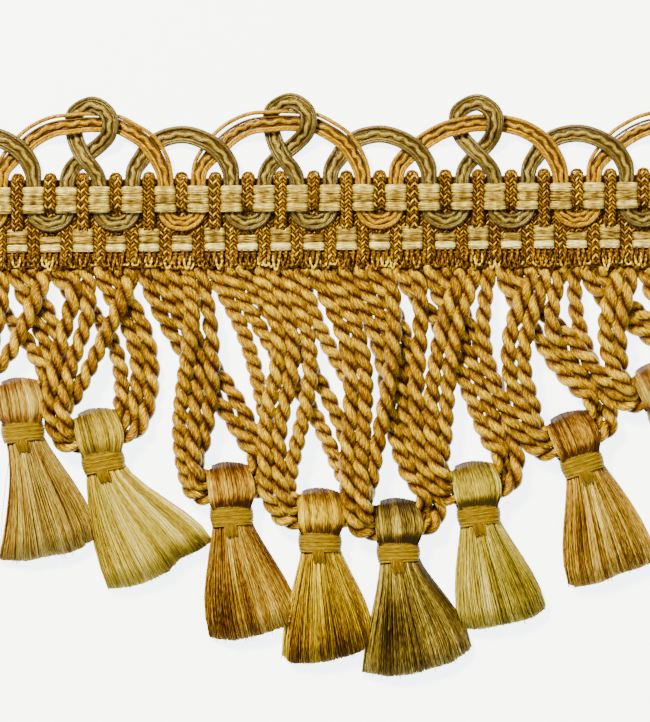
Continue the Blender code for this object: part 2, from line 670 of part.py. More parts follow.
def make_tassel(number):
    look = material(f"tassel_yarn_{number}", TASSEL_COLOURS[number], 0.5)
    head = make_head(number, look)
    bm = bmesh.new()
    for column in range(LOCK_COLUMNS):
        loft(bm, lock_rings(number, (column + 0.5) / LOCK_COLUMNS, False))
    for column in range(LOCK_COLUMNS - 1):
        loft(bm, lock_rings(number, (column + 1) / LOCK_COLUMNS, True))
    union(head, [add_object("locks", bm, look)])


def make_binding(number):
    """Gold thread wound round the neck, a ring a little clear of the yarn."""
    inner = (NECK_HALF_WIDE + TOUCH, NECK_HALF_DEEP + TOUCH)
    outer = (inner[0] + BINDING_THICK, inner[1] + BINDING_THICK)
    ends = (-NECK_LONG / 2 + 0.4, NECK_LONG / 2 - 0.5)
    bm = bmesh.new()
    loops = []
    for (wide, deep), along in ((inner, ends[0]), (outer, ends[0]), (outer, ends[1]),
                                (inner, ends[1])):
        corner = 0.45 if wide == inner[0] else 0.9
        outline = ((-wide, -deep + corner), (-wide + corner, -deep), (wide - corner, -deep),
                   (wide, -deep + corner), (wide, deep - corner), (wide - corner, deep),
                   (-wide + corner, deep), (-wide, deep - corner))
        loops.append([bm.verts.new(tassel_mm(number, along, out, EYE_Z + up))
                      for out, up in outline])
    for near, far in zip(loops, loops[1:] + loops[:1]):
        for i in range(len(near)):
            j = (i + 1) % len(near)
            bm.faces.new((near[i], near[j], far[j], far[i]))
    add_object(f"binding_{number}", bm, BINDING)


for tassel_number in range(len(TASSELS)):
    make_tassel(tassel_number)
    make_binding(tassel_number)
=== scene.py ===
"""The looks of a tassel fringe lying flat: every yarn, cord and thread as its own strand.

Sizes are typed in millimetres. "Across" runs along the heading and "drop" runs down from
the line where the bullion cords are sewn on, as in the model that this follows.
"""
import math

import bpy
import numpy as np
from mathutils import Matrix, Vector


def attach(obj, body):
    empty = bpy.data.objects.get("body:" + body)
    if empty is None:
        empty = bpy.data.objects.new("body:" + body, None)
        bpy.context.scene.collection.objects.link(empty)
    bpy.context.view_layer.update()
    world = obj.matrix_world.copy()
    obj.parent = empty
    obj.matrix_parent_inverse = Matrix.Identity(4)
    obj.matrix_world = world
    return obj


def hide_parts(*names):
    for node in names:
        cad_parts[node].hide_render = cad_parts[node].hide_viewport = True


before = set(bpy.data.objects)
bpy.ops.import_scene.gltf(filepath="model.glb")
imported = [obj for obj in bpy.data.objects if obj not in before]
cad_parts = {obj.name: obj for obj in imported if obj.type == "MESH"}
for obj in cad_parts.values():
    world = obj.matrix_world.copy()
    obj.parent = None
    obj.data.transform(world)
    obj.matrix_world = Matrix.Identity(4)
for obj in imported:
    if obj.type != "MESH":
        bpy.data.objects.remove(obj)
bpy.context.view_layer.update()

SHAKE = np.random.default_rng(7)

MM = 0.001
POINTS_BETWEEN_KNOTS = 24

# The whole length, and where its parts lie down from the root line
LEFT_END = -74.7              # across, of the heading's two cut ends
RIGHT_END = 69.7
MIDDLE_ACROSS = 4.05          # across that becomes x = 0
MIDDLE_DROP = 24.09           # drop that becomes y = 0
TOUCH = 0.3                   # gap between pieces that lie against each other

# Woven heading
HEAD_TOP_DROP = -17.2
SLAB_THICK = 1.15
BRICK_PITCH = 6.57
BRICK_FIRST = -58.1           # across, of the first whole brick in the upper row
UPPER_DROP = (-15.6, -10.3)
LOWER_DROP = (-7.2, -2.6)

# Scroll gimp
REPEAT = 39.4
BAND_THICK = 1.15
BAND_HALF_WIDE = 1.8
BAND_HALF_NARROW = 1.4
UNDER = BAND_THICK / 2
OVER = UNDER + BAND_THICK + TOUCH
IN_TUNNEL = SLAB_THICK + TOUCH + BAND_THICK / 2

# Bullion cords and the narrow strip that they are sewn to
CORD_RADIUS = 1.3
CORD_RADIUS_IN_EYE = 1.02
CORD_STEP = 1.2               # spacing of the points while the cords settle
CORD_GAP = 0.25
STRIP_DROP = (-2.1, 0.7)

# Tassels
EYE_LONG = 7.3
EYE_PITCH = 2.3
EYE_Z = 3.4
WALL = 1.3


def run_along(path):
    """How far along a path each of its points lies."""
    return np.concatenate([[0], np.cumsum(np.linalg.norm(np.diff(path, axis=0), axis=1))])


def wobble(size):
    """A random number from minus the size to the size."""
    return SHAKE.uniform(-size, size)


def smooth_path(knots, step):
    """Points about one step apart on a smooth curve through the knots (x, y, z, ...)."""
    knots = np.array(knots, dtype=float)
    ends = np.vstack([2 * knots[0] - knots[1], knots, 2 * knots[-1] - knots[-2]])
    dense = []
    for k in range(1, len(ends) - 2):
        a, b, c, d = ends[k - 1:k + 3]
        for t in np.linspace(0, 1, POINTS_BETWEEN_KNOTS, endpoint=False):
            dense.append(0.5 * (2 * b + (c - a) * t + (2 * a - 5 * b + 4 * c - d) * t ** 2
                                + (3 * b - a - 3 * c + d) * t ** 3))
    dense.append(ends[-2])
    dense = np.array(dense)
    run = run_along(dense[:, :2])
    count = max(2, int(round(run[-1] / step)) + 1)
    even = np.linspace(0, run[-1], count)
    return np.stack([np.interp(even, run, dense[:, k]) for k in range(dense.shape[1])], axis=1)


BRICK_NUMBERS = range(-2, 20)
COLUMN_NUMBERS = range(-3, 20)


def column_across(k):
    return BRICK_FIRST + (k + 0.5) * BRICK_PITCH


def carries_u(k):
    """Every second column has a loop of gimp turning below it."""
    return k % 2 == 0


# Scroll gimp. Both bands turn in a U below every second column, pass through the tunnels
# under the bricks, and lie on the surface above the heading. The knots count across from
# the U's own column: across, drop, height of the band's middle, half width.
WIDE, SLIM = BAND_HALF_WIDE, BAND_HALF_NARROW
TUNNEL = BRICK_PITCH / 2

U_TURN = (
    (-TUNNEL, -12.0, IN_TUNNEL, SLIM),
    (-TUNNEL + 0.1, -10.0, IN_TUNNEL, SLIM),
    (-2.0, -8.6, IN_TUNNEL, SLIM),
    (0.0, -8.05, IN_TUNNEL, SLIM),
    (2.0, -8.6, IN_TUNNEL, SLIM),
    (TUNNEL - 0.1, -10.0, IN_TUNNEL, SLIM),
    (TUNNEL, -12.0, IN_TUNNEL, SLIM),
    (TUNNEL, -15.5, IN_TUNNEL, SLIM),
)
GOLD_ARCH = (
    (3.6, -18.7, IN_TUNNEL + 0.1, 1.6),
    (5.1, -21.0, UNDER, WIDE),
    (8.0, -23.8, UNDER, WIDE),
    (10.6, -25.7, UNDER, WIDE),
    (13.2, -27.0, OVER, WIDE),
    (15.6, -27.6, OVER, WIDE),
    (18.2, -28.1, OVER, WIDE),
    (21.5, -28.2, 1.4, WIDE),
    (24.4, -28.0, 1.3, WIDE),
    (28.8, -26.8, OVER, WIDE),
    (32.4, -24.4, OVER, WIDE),
    (35.0, -20.6, OVER, WIDE),
    (REPEAT - TUNNEL, -17.0, IN_TUNNEL, 1.6),
)
OLIVE_LOOP = (
    (3.6, -17.8, IN_TUNNEL, 1.5),
    (4.7, -19.8, 0.7, 1.6),
    (6.7, -22.0, UNDER, 1.6),
    (8.6, -24.2, 1.1, 1.6),
    (9.5, -26.4, 3.0, 1.6),
    (9.4, -30.0, 3.05, 1.6),
    (6.2, -32.2, 2.3, 1.6),
    (2.6, -30.6, UNDER, 1.6),
    (2.2, -27.8, UNDER, 1.6),
    (3.2, -25.2, UNDER, 1.6),
    (5.4, -22.6, OVER, 1.6),
    (7.4, -20.6, OVER + 0.5, 1.5),
    (9.0, -18.6, OVER + 0.4, 1.5),
    (3 * TUNNEL, -16.4, IN_TUNNEL, SLIM),
)
OLIVE_ARCH = (
    (3.6, -18.7, IN_TUNNEL + 0.1, 1.6),
    (4.9, -21.0, UNDER, WIDE),
    (6.8, -23.6, UNDER, WIDE),
    (9.8, -25.4, 0.7, WIDE),
    (13.8, -25.9, 1.3, WIDE),
    (17.8, -24.6, OVER, WIDE),
    (20.8, -22.4, OVER, WIDE),
    (22.6, -19.4, OVER, WIDE),
    (7 * TUNNEL, -16.6, IN_TUNNEL, 1.5),
)
GOLD_PARTS = ((0, U_TURN), (0, GOLD_ARCH))
OLIVE_PARTS = ((0, U_TURN), (0, OLIVE_LOOP), (4 * TUNNEL, U_TURN), (4 * TUNNEL, OLIVE_ARCH))

# How each repeat departs from the pattern: the repeat's number, how far its olive loop
# stands to the right, how much higher the loop is, and how much higher the gold arch is
DEPARTURES = {0: (2.3, -0.2, 0.5), 1: (2.4, 0.4, 0.9), 2: (0.2, 0.0, -0.2)}
COLUMNS_A_REPEAT = 6
CUT_MARGIN = 1.8              # how far inside the heading's cut ends the bands stop
REPEATS = range(-1, 5)
LOOP_FREE_ABOVE = 21.0        # millimetres above the root line, where olive loops start to depart
LOOP_FREE_OVER = 5.5          # millimetres further up, where they depart in full
ARCH_SHIFT_MIDDLE, ARCH_SHIFT_WIDE = 20, 6.6
ARCH_RISE_MIDDLE, ARCH_RISE_WIDE = 13.5, 7.5
HIGH_ABOVE_HEADING = 1.9      # how far above the heading the bands still lie high


def departed(part, knot, repeat):
    """A knot of one repeat, moved as that repeat departs from the pattern."""
    x, drop, z, half = knot
    shift, loop_rise, arch_rise = DEPARTURES.get(repeat, (0, 0, 0))
    if part is OLIVE_LOOP:
        free = min(1, max(0, (-drop - LOOP_FREE_ABOVE) / LOOP_FREE_OVER))
        return x + shift * free, drop - loop_rise * free, z, half
    if part is GOLD_ARCH:
        x = x + shift * math.exp(-((x - ARCH_SHIFT_MIDDLE) / ARCH_SHIFT_WIDE) ** 4)
        rise = arch_rise * math.exp(-((x - ARCH_RISE_MIDDLE) / ARCH_RISE_WIDE) ** 2)
        return x, drop - rise, z, half
    return knot


def gimp_path(parts, first_column, step):
    """The band's whole run, repeated along the trim and ended at the two cuts."""
    knots = []
    for repeat in REPEATS:
        start = column_across(first_column + COLUMNS_A_REPEAT * repeat)
        for shift, part in parts:
            for knot in part:
                x, drop, z, half = departed(part, knot, repeat)
                knots.append((start + shift + x, drop, z, half))
    path = smooth_path(knots, step)
    over_heading = path[:, 1] > HEAD_TOP_DROP - HIGH_ABOVE_HEADING
    path[:, 2] = np.maximum(path[:, 2], np.where(over_heading, IN_TUNNEL, UNDER))
    inside = (path[:, 0] > LEFT_END + CUT_MARGIN) & (path[:, 0] < RIGHT_END - CUT_MARGIN)
    runs, start = [], None
    for i, value in enumerate(list(inside) + [False]):
        if value and start is None:
            start = i
        if not value and start is not None:
            runs.append((i - start, start, i))
            start = None
    longest = max(runs)
    return path[longest[1]:longest[2]]


# Each tassel's neck, across and drop, and how many degrees it leans to the right
TASSELS = ((-60.2, 33.2, 8), (-44.2, 39.2, 12), (-18.6, 50.0, 6), (-1.0, 55.2, 2),
           (14.6, 57.2, 4), (30.6, 49.8, 9), (51.2, 39.6, 20), (68.6, 29.6, 23))
HEAD_HALF_WIDE = 3.9
HEAD_PUSH_END = 12            # along the tassel, where cords are no longer pushed aside
EYE_MIDDLE = -6.1             # along the tassel from its neck, up being negative

# Each cord's way from its root to its tassel, in order along the strip. Side -1 enters the
# tassel's eye from the left and +1 from the right, slot 1 is the eye's lowest and 3 its
# highest. Then come three places, sway, hang and turn, each as across and drop. Cords from
# the left lie in the front layer and those from the right at the back, apart from four
# where they sway.
BACK, FRONT, TOP = 1.5, 4.5, 7.3
CORDS = (
    (0, +1, 3, -65, 8, -57.8, 16.5, -56, 22),
    (0, -1, 1, -66.6, 7, -69.8, 18, -69.2, 26),
    (0, -1, 2, -63.6, 8, -67, 17, -66.8, 24.6),
    (0, +1, 2, -56.6, 11.4, -55, 17, -54.6, 23.6),
    (0, +1, 1, -55, 10, -52.6, 17, -53.4, 26),
    (0, -1, 3, -57.4, 6, -61.8, 17.4, -64.4, 22.4),
    (1, +1, 3, -44, 10.8, -40.2, 20, -40, 27),
    (1, -1, 1, -49.6, 7.6, -54.6, 20.4, -56, 28.4),
    (1, -1, 2, -46.2, 10, -51.6, 21.4, -53, 28.6),
    (1, +1, 2, -38.8, 11.4, -36.2, 22, -37.4, 28.6),
    (1, +1, 1, -36.4, 10.6, -34, 20.6, -35.6, 30.8),
    (1, -1, 3, -39.6, 6, -46.8, 20.4, -50, 27.4),
    (2, +1, 3, -31.2, 13.2, -20.8, 27.8, -14.8, 36.2),
    (2, +1, 2, -27.4, 13.2, -17.2, 27, -12.6, 37.4),
    (2, -1, 2, -25.4, 14, -25, 25.4, -26.4, 36.4),
    (2, -1, 1, -25.8, 11, -28.4, 27.6, -28.6, 38),
    (2, -1, 3, -22.2, 14, -23.2, 24.6, -24.6, 34.4),
    (2, +1, 1, -16, 13, -12.4, 28, -11.8, 40),
    (3, +1, 3, -10.6, 16.6, -1.4, 30.6, 3.2, 41.4),
    (3, +1, 2, -5, 17, 3.6, 31.8, 5.6, 42),
    (3, -1, 1, -8.2, 16, -12.6, 32, -12.6, 43.6),
    (3, -1, 2, -5.4, 16, -9, 30.6, -10, 42),
    (3, -1, 3, -2.2, 18, -4.8, 32.6, -7.4, 41.4),
    (3, +1, 1, -1.8, 12.6, 7.2, 27, 7.6, 40),
    (4, -1, 1, 5, 16, 5.2, 29.4, 3.8, 42.6),
    (4, -1, 2, 7.8, 16, 8, 31, 6.4, 43.6),
    (4, +1, 3, 11.6, 13, 13.2, 28.6, 18.2, 43.4),
    (4, +1, 2, 13.8, 15, 15.8, 32, 20.2, 44),
    (4, +1, 1, 16, 15, 18.8, 35, 22, 46.6),
    (4, -1, 3, 14, 14, 11.2, 32, 8.8, 42),
    (5, +1, 3, 23, 11, 28.6, 24, 33, 35.4),
    (5, -1, 1, 19.2, 13, 17.8, 28, 19.2, 39.4),
    (5, +1, 2, 28, 16, 33, 28.6, 35.4, 36.8),
    (5, +1, 1, 29.4, 13, 35.4, 28, 37.4, 39),
    (5, -1, 2, 24, 10.2, 20.8, 27, 21.8, 38),
    (5, -1, 3, 25.4, 11.4, 24.4, 24, 23.6, 35.6),
    (6, -1, 1, 30.8, 15, 34, 25.4, 39.2, 33.6),
    (6, +1, 3, 40.8, 11.4, 47, 20.6, 51.6, 24.6),
    (7, -1, 1, 45.6, 12, 54.4, 20.6, 59.4, 26),
    (6, -1, 2, 36.6, 11.4, 36, 22.6, 40.4, 31),
    (6, -1, 3, 40.2, 11.4, 38.4, 20.4, 41.8, 28.4),
    (6, +1, 2, 43.6, 12, 48.6, 19, 54, 25.6),
    (6, +1, 1, 49.6, 12, 52, 19.4, 56.2, 28.2),
    (7, +1, 3, 60, 11, 66, 15.4, 70.4, 18.4),
    (7, +1, 2, 63, 10.4, 69.4, 14.6, 73, 19.4),
    (7, -1, 2, 55.6, 8.4, 54.8, 15.4, 58.4, 23),
    (7, -1, 3, 58.4, 9, 57.4, 15, 60, 20.2),
    (7, +1, 1, 63.4, 6.6, 70.4, 11.4, 75.2, 21),
)
SWAY_LAYERS = {(2, -1, 1): TOP, (7, -1, 1): BACK,
               (6, +1, 2): FRONT, (7, +1, 1): FRONT}
BESIDE_OUT, BESIDE_UP = 6.6, 1.2       # a cord's last place before its tassel's eye
MOUTH_OUT = 4.3
ROOT_FIRST = -70.4
ROOT_PITCH = 2.86
ROOT_RADIUS = 1.17
ROOT_DROP = 2.4               # down to here each cord runs straight


def tassel_axes(row):
    """A tassel's neck, its downward direction and its direction to the right."""
    across, drop = row[:2]
    lean = math.radians(row[2])
    down = np.array([math.sin(lean), math.cos(lean)])
    wide = np.array([math.cos(lean), -math.sin(lean)])
    return np.array([across, drop]), down, wide


def tassel_point(number, along, out):
    """A point in a tassel's own directions: along it from the neck, and out to its right."""
    neck, down, wide = tassel_axes(TASSELS[number])
    return neck + along * down + out * wide


def eye_knots(number, side, slot):
    """The last points of a cord, from beside the tassel's head to the middle of its eye."""
    along = EYE_MIDDLE + (2 - slot) * EYE_PITCH
    beside = tassel_point(number, along - BESIDE_UP, side * BESIDE_OUT)
    mouth = tassel_point(number, along, side * MOUTH_OUT)
    middle = tassel_point(number, along, 0)
    layer = FRONT if side < 0 else BACK
    return [(*beside, (layer + EYE_Z) / 2, CORD_RADIUS), (*mouth, EYE_Z, CORD_RADIUS_IN_EYE),
            (*middle, EYE_Z, CORD_RADIUS_IN_EYE)]


def cord_paths():
    """One path a loop: down one cord, through the tassel's eye and up the other."""
    halves = {}
    for rank, (number, side, slot, *way) in enumerate(CORDS):
        root = ROOT_FIRST + rank * ROOT_PITCH
        layer = FRONT if side < 0 else BACK
        sway_z = SWAY_LAYERS.get((number, side, slot), layer)
        knots = [(root, STRIP_DROP[1], BACK, ROOT_RADIUS), (root, ROOT_DROP, BACK, ROOT_RADIUS),
                 (*way[:2], sway_z, CORD_RADIUS), (*way[2:4], layer, CORD_RADIUS),
                 (*way[4:], layer, CORD_RADIUS)]
        halves[number, slot, side] = knots + eye_knots(number, side, slot)
    paths = []
    for number in range(len(TASSELS)):
        for slot in (1, 2, 3):
            left = halves[number, slot, -1]
            right = halves[number, slot, +1]
            paths.append(smooth_path(left + right[-2::-1], CORD_STEP))
    return paths


def push_from_heads(points, radii):
    """How far each point must move to clear every tassel's head and neck."""
    push = np.zeros_like(points)
    for row in TASSELS:
        neck, down, wide = tassel_axes(row)
        offset = points[:, :2] - neck
        along = offset @ down
        out = offset @ wide
        reach = HEAD_HALF_WIDE + radii + 2 * TOUCH
        head_top = EYE_MIDDLE - EYE_LONG / 2 - WALL - radii - TOUCH
        beside = reach - np.abs(out)
        above = along - head_top
        inside = (beside > 0) & (above > 0) & (along < HEAD_PUSH_END)
        sideways = inside & (beside <= above)
        upward = inside & (beside > above)
        push[sideways, :2] += (np.sign(out) * beside)[sideways, None] * wide
        push[upward, :2] -= above[upward, None] * down
    return push


# How the cords settle. In the first rounds they are straightened more, and drawn back to the
# paths that they were given. The shares say how much of each move is made in one round.
SETTLE_ROUNDS = 180
SHAPING_ROUNDS = 110
PUSH_SHARE = 0.9
HEAD_PUSH_SHARE = 0.6
STRAIGHTEN_SHARE = 0.22
STRAIGHTEN_SHARE_LATE = 0.02
DRAW_BACK_SHARE = 0.015
NEAR_IN_ORDER = 5             # points of a cord this near in their order don't push
FLOOR_GAP = 0.03


def settle(paths):
    """Let the cords push each other aside until they lie clear, as soft cords do."""
    points = np.vstack([path[:, :3] for path in paths])
    radii = np.concatenate([path[:, 3] for path in paths])
    loop = np.concatenate([[n] * len(path) for n, path in enumerate(paths)])
    order = np.arange(len(points))
    held = radii < (ROOT_RADIUS + CORD_RADIUS_IN_EYE) / 2
    first = np.concatenate([[True], loop[1:] != loop[:-1]])
    last = np.concatenate([loop[1:] != loop[:-1], [True]])
    for shift in range(2):
        held |= np.roll(first, shift) | np.roll(last, -shift)
    free = ~held
    home = points.copy()
    need = radii[:, None] + radii[None, :] + CORD_GAP
    reach = need ** 2
    far_in_order = np.abs(order[:, None] - order[None, :]) > NEAR_IN_ORDER
    apart_in_run = (loop[:, None] != loop[None, :]) | far_in_order
    inner = free & ~first & ~last
    for turn in range(SETTLE_ROUNDS):
        shaping = turn < SHAPING_ROUNDS
        length = (points ** 2).sum(axis=1)
        squared = length[:, None] + length[None, :] - 2 * points @ points.T
        one, other = np.nonzero((squared < reach) & apart_in_run)
        apart = points[one] - points[other]
        distance = np.sqrt((apart ** 2).sum(axis=1)) + 1e-9
        lack = need[one, other] - distance
        push = np.zeros_like(points)
        np.add.at(push, one, apart / distance[:, None] * lack[:, None])
        crowd = np.maximum(1, np.bincount(one, minlength=len(points)))
        move = PUSH_SHARE * push / crowd[:, None] ** 0.5
        bend = np.roll(points, 1, axis=0) + np.roll(points, -1, axis=0) - 2 * points
        move[inner] += (STRAIGHTEN_SHARE if shaping else STRAIGHTEN_SHARE_LATE) * bend[inner]
        if shaping:
            move += DRAW_BACK_SHARE * (home - points)
        move += HEAD_PUSH_SHARE * push_from_heads(points, radii)
        points[free] += move[free]
        points[:, 2] = np.maximum(points[:, 2], radii + FLOOR_GAP)
    settled, start = [], 0
    for path in paths:
        settled.append(np.column_stack([points[start:start + len(path)], path[:, 3]]))
        start += len(path)
    return settled


# The heading's rise at across 0, and for each millimetre to the right. At these drops, these
# shares of it are left.
ASKEW_RISE = 0.34
ASKEW_SLOPE = 0.0085
ASKEW_DROPS = (-28, -18, -3, 3)
ASKEW_SHARES = (0.3, 1, 1, 0)

FIBRE_STRETCH = 0.16          # how fast the fibres' pattern changes along a yarn
FACING_EVEN = 0.35            # how far outward a yarn's side faces where it keeps its tone
# Painted shade on the side of a yarn that faces its core, and a painted highlight on the side that
# faces away
PAINTED_SHADE_INSIDE = 1.25
PAINTED_HIGHLIGHT_OUTSIDE = 0.45


def place(points):
    """Points typed as across, drop, z in millimetres, as metres of the shared frame.

    The heading lies a little askew, higher at its right end.
    """
    points = np.array(points, dtype=float)
    fade = np.interp(points[:, 1], ASKEW_DROPS, ASKEW_SHARES)
    points[:, 1] -= fade * (ASKEW_RISE + ASKEW_SLOPE * points[:, 0])
    return np.stack([(points[:, 0] - MIDDLE_ACROSS) * MM, (MIDDLE_DROP - points[:, 1]) * MM,
                     points[:, 2] * MM], axis=1)


def unit(vectors):
    length = np.linalg.norm(vectors, axis=1, keepdims=True)
    return vectors / np.maximum(length, 1e-12)


def directions(path, side=None):
    """Tangent, sideways and upward directions at every point of a path."""
    along = unit(np.gradient(path, axis=0))
    if side is None:
        side = np.cross(along, np.array([0.0, 0.0, 1.0]))
    else:
        side = np.broadcast_to(side, path.shape) - along * (along @ side)[:, None]
    side = unit(side)
    return along, side, np.cross(side, along)


class Strands:
    """Gathers many closed yarns into one mesh, with their tone and fibre direction."""

    def __init__(self):
        self.points, self.tones, self.fibres = [], [], []
        self.corners, self.starts = [], []
        self.count = 0
        self.used = 0

    def add(self, path, radius, sides, tone, side=None, flat=1.0, slant=0.0, core=None, groove=0.0):
        """One yarn along a path in millimetres. Flat squeezes it up and down.

        Core is the middle of the cord that the yarn winds round, or a point just below the
        yarn: the side of the yarn that faces it gets painted shade and the side that faces away
        a painted highlight, as strong as the argument after core says.
        """
        path = np.asarray(path, dtype=float)
        total = len(path)
        radius = np.broadcast_to(radius, (total,))
        _, out, up = directions(path, side)
        run = run_along(path)
        angle = np.arange(sides) * 2 * math.pi / sides
        wide = np.cos(angle)[None, :, None] * out[:, None, :]
        high = np.sin(angle)[None, :, None] * up[:, None, :] * flat
        ring = path[:, None, :] + radius[:, None, None] * (wide + high)
        seed = float(SHAKE.uniform(0, 400))
        turn = angle[None, :] + slant * run[:, None]
        fibre = np.stack([np.cos(turn) * radius[:, None], np.sin(turn) * radius[:, None],
                          np.broadcast_to(FIBRE_STRETCH * run[:, None] + seed, turn.shape)], axis=2)
        tones = np.broadcast_to(np.asarray(tone, dtype=float), (total,))[:, None]
        tones = np.broadcast_to(tones, (total, sides))
        # painted shade on the side facing the core, a painted highlight on the side facing away
        if core is not None:
            outward = unit(path - core)[:, None, :]
            facing = np.sum((wide + high) * outward, axis=2) - FACING_EVEN
            tones = tones + groove * np.where(facing < 0, PAINTED_SHADE_INSIDE, PAINTED_HIGHLIGHT_OUTSIDE) * facing
        self.points.append(ring.reshape(-1, 3))
        self.fibres.append(fibre.reshape(-1, 3))
        self.tones.append(tones.ravel())
        base = self.count
        row = np.arange(total - 1)[:, None] * sides + base
        near = row + np.arange(sides)[None, :]
        far = row + (np.arange(sides)[None, :] + 1) % sides
        quads = np.stack([near, far, far + sides, near + sides], axis=2).reshape(-1, 4)
        caps = np.concatenate([np.arange(sides)[::-1] + base,
                               np.arange(sides) + base + (total - 1) * sides])
        self.corners.append(quads.ravel())
        self.starts.append(self.used + 4 * np.arange(len(quads)))
        self.used += quads.size
        self.corners.append(caps)
        self.starts.append(self.used + np.array([0, sides]))
        self.used += caps.size
        self.count += total * sides

    def build(self, name, look, nodes):
        """The gathered yarns as one piece that stands for the given nodes."""
        mesh = bpy.data.meshes.new(name)
        points = place(np.vstack(self.points))
        corners = np.concatenate(self.corners).astype(np.int32)
        starts = np.concatenate(self.starts).astype(np.int32)
        mesh.vertices.add(len(points))
        mesh.vertices.foreach_set("co", points.astype(np.float32).ravel())
        mesh.loops.add(len(corners))
        mesh.loops.foreach_set("vertex_index", corners)
        mesh.polygons.add(len(starts))
        mesh.polygons.foreach_set("loop_start", starts)
        mesh.update(calc_edges=True)
        tone = mesh.attributes.new("tone", "FLOAT", "POINT")
        tone.data.foreach_set("value", np.concatenate(self.tones).astype(np.float32))
        fibre = mesh.attributes.new("fibre", "FLOAT_VECTOR", "POINT")
        fibre.data.foreach_set("vector", np.vstack(self.fibres).astype(np.float32).ravel())
        mesh.polygons.foreach_set("use_smooth", np.full(len(starts), True))
        mesh.materials.append(look)
        piece = bpy.data.objects.new(name, mesh)
        bpy.context.collection.objects.link(piece)
        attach(piece, "root")
        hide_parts(*nodes)


GOLD_SHINE = (1.0, 0.68, 0.20, 1)
CREAM_SHINE = (1.0, 0.85, 0.55, 1)
NOISE_DETAIL = 3.0
DARKER_BY = 0.10              # how far the streaks' middle lies under the yarn's own tone
ROUGH_SPREAD = 0.3
RELIEF_DEPTH = 0.0002         # metres


def arithmetic(nodes, operation, *values):
    """A node that computes with its first input and the given values of the next ones."""
    node = nodes.new("ShaderNodeMath")
    node.operation = operation
    for place_of_value, value in enumerate(values, 1):
        node.inputs[place_of_value].default_value = value
    return node


def yarn_look(name, colours, roughness, streak, bump, gloss=0.8, shine=GOLD_SHINE, contrast=1.35):
    """Yarn with fibres along it. The colours run from dark to light with tone and streaks."""
    look = bpy.data.materials.new(name)
    look.use_nodes = True
    nodes, links = look.node_tree.nodes, look.node_tree.links
    shader = nodes["Principled BSDF"]
    shader.inputs["Specular IOR Level"].default_value = gloss
    shader.inputs["Specular Tint"].default_value = shine
    fibre = nodes.new("ShaderNodeAttribute")
    fibre.attribute_name = "fibre"
    tone = nodes.new("ShaderNodeAttribute")
    tone.attribute_name = "tone"
    noise = nodes.new("ShaderNodeTexNoise")
    noise.inputs["Scale"].default_value = streak
    noise.inputs["Detail"].default_value = NOISE_DETAIL
    links.new(fibre.outputs["Vector"], noise.inputs["Vector"])
    swing = arithmetic(nodes, "MULTIPLY_ADD", contrast, -0.5 * contrast - DARKER_BY)
    links.new(noise.outputs["Fac"], swing.inputs[0])
    total = arithmetic(nodes, "ADD")
    links.new(swing.outputs[0], total.inputs[0])
    links.new(tone.outputs["Fac"], total.inputs[1])
    ramp = nodes.new("ShaderNodeValToRGB")
    stops = ramp.color_ramp.elements
    for i, colour in enumerate(colours):
        where = i / (len(colours) - 1)
        stop = stops[i] if i < 2 else stops.new(where)
        stop.position = where
        stop.color = (*colour, 1)
    links.new(total.outputs[0], ramp.inputs["Fac"])
    links.new(ramp.outputs["Color"], shader.inputs["Base Color"])
    rough = arithmetic(nodes, "MULTIPLY_ADD", ROUGH_SPREAD, roughness - ROUGH_SPREAD / 2)
    links.new(noise.outputs["Fac"], rough.inputs[0])
    links.new(rough.outputs[0], shader.inputs["Roughness"])
    relief = nodes.new("ShaderNodeBump")
    relief.inputs["Strength"].default_value = bump
    relief.inputs["Distance"].default_value = RELIEF_DEPTH
    links.new(noise.outputs["Fac"], relief.inputs["Height"])
    links.new(relief.outputs["Normal"], shader.inputs["Normal"])
    return look


def helix(path, turn_length, offset, start, hand=-1):
    """A ply's path, winding round a cord's own path."""
    _, out, up = directions(path)
    run = run_along(path)
    angle = start + hand * 2 * math.pi * run / turn_length
    return path + offset * np.cos(angle)[:, None] * out + offset * np.sin(angle)[:, None] * up


CORD_LOOK = yarn_look(
    "bullion_cord", ((0.010, 0.002, 0.0001), (0.070, 0.022, 0.0001), (0.23, 0.108, 0.0002),
    (0.68, 0.45, 0.001), (1.0, 0.82, 0.01)), 0.42, 7.0, 0.5, 0.2, GOLD_SHINE, 1.7)


PLY_TURN = 6.7                # length of cord to one turn of its plies
PLY_TURN_SHARES = (0.88, 1.22)
PLY_OFFSET = 0.65
PLY_RADIUS = 1.0
PLY_SIDES = 8
PLY_TONE = 0.52
PLY_SLANT = -0.62
# strength of the painted shade in the ply grooves and the painted highlight on the ply crowns
PLY_PAINTED_SHADING = 0.5
PLY_FLOOR_GAP = 0.02
FINE_CORD_STEP = 0.46
SWELL_DROPS = (0, 3, 12)      # where a cord is thicker near its root
SWELL_SHARES = (1.16, 1.12, 1.03)


def bullion_cords():
    """Three loops of two-ply cord to a tassel."""
    settled = settle(cord_paths())
    for number in range(len(TASSELS)):
        strands = Strands()
        for slot in range(3):
            path = smooth_path(settled[3 * number + slot], FINE_CORD_STEP)
            start = SHAKE.uniform(0, 2 * math.pi)
            turn = PLY_TURN * SHAKE.uniform(*PLY_TURN_SHARES)
            swell = np.interp(path[:, 1], SWELL_DROPS, SWELL_SHARES)
            size = path[:, 3] / CORD_RADIUS * swell
            for ply in range(2):
                winding = helix(path[:, :3], turn, PLY_OFFSET, start + ply * math.pi)
                winding = path[:, :3] + (winding - path[:, :3]) * size[:, None]
                winding[:, 2] = np.maximum(winding[:, 2], PLY_RADIUS * size + PLY_FLOOR_GAP)
                shade = PLY_TONE + 0.10 * (ply - 0.5) + wobble(0.05)
                strands.add(winding, PLY_RADIUS * size, PLY_SIDES, shade, slant=PLY_SLANT,
                            core=path[:, :3], groove=PLY_PAINTED_SHADING)
        strands.build(f"bullion_{number}", CORD_LOOK, ["bullion_fringe"])


bullion_cords()


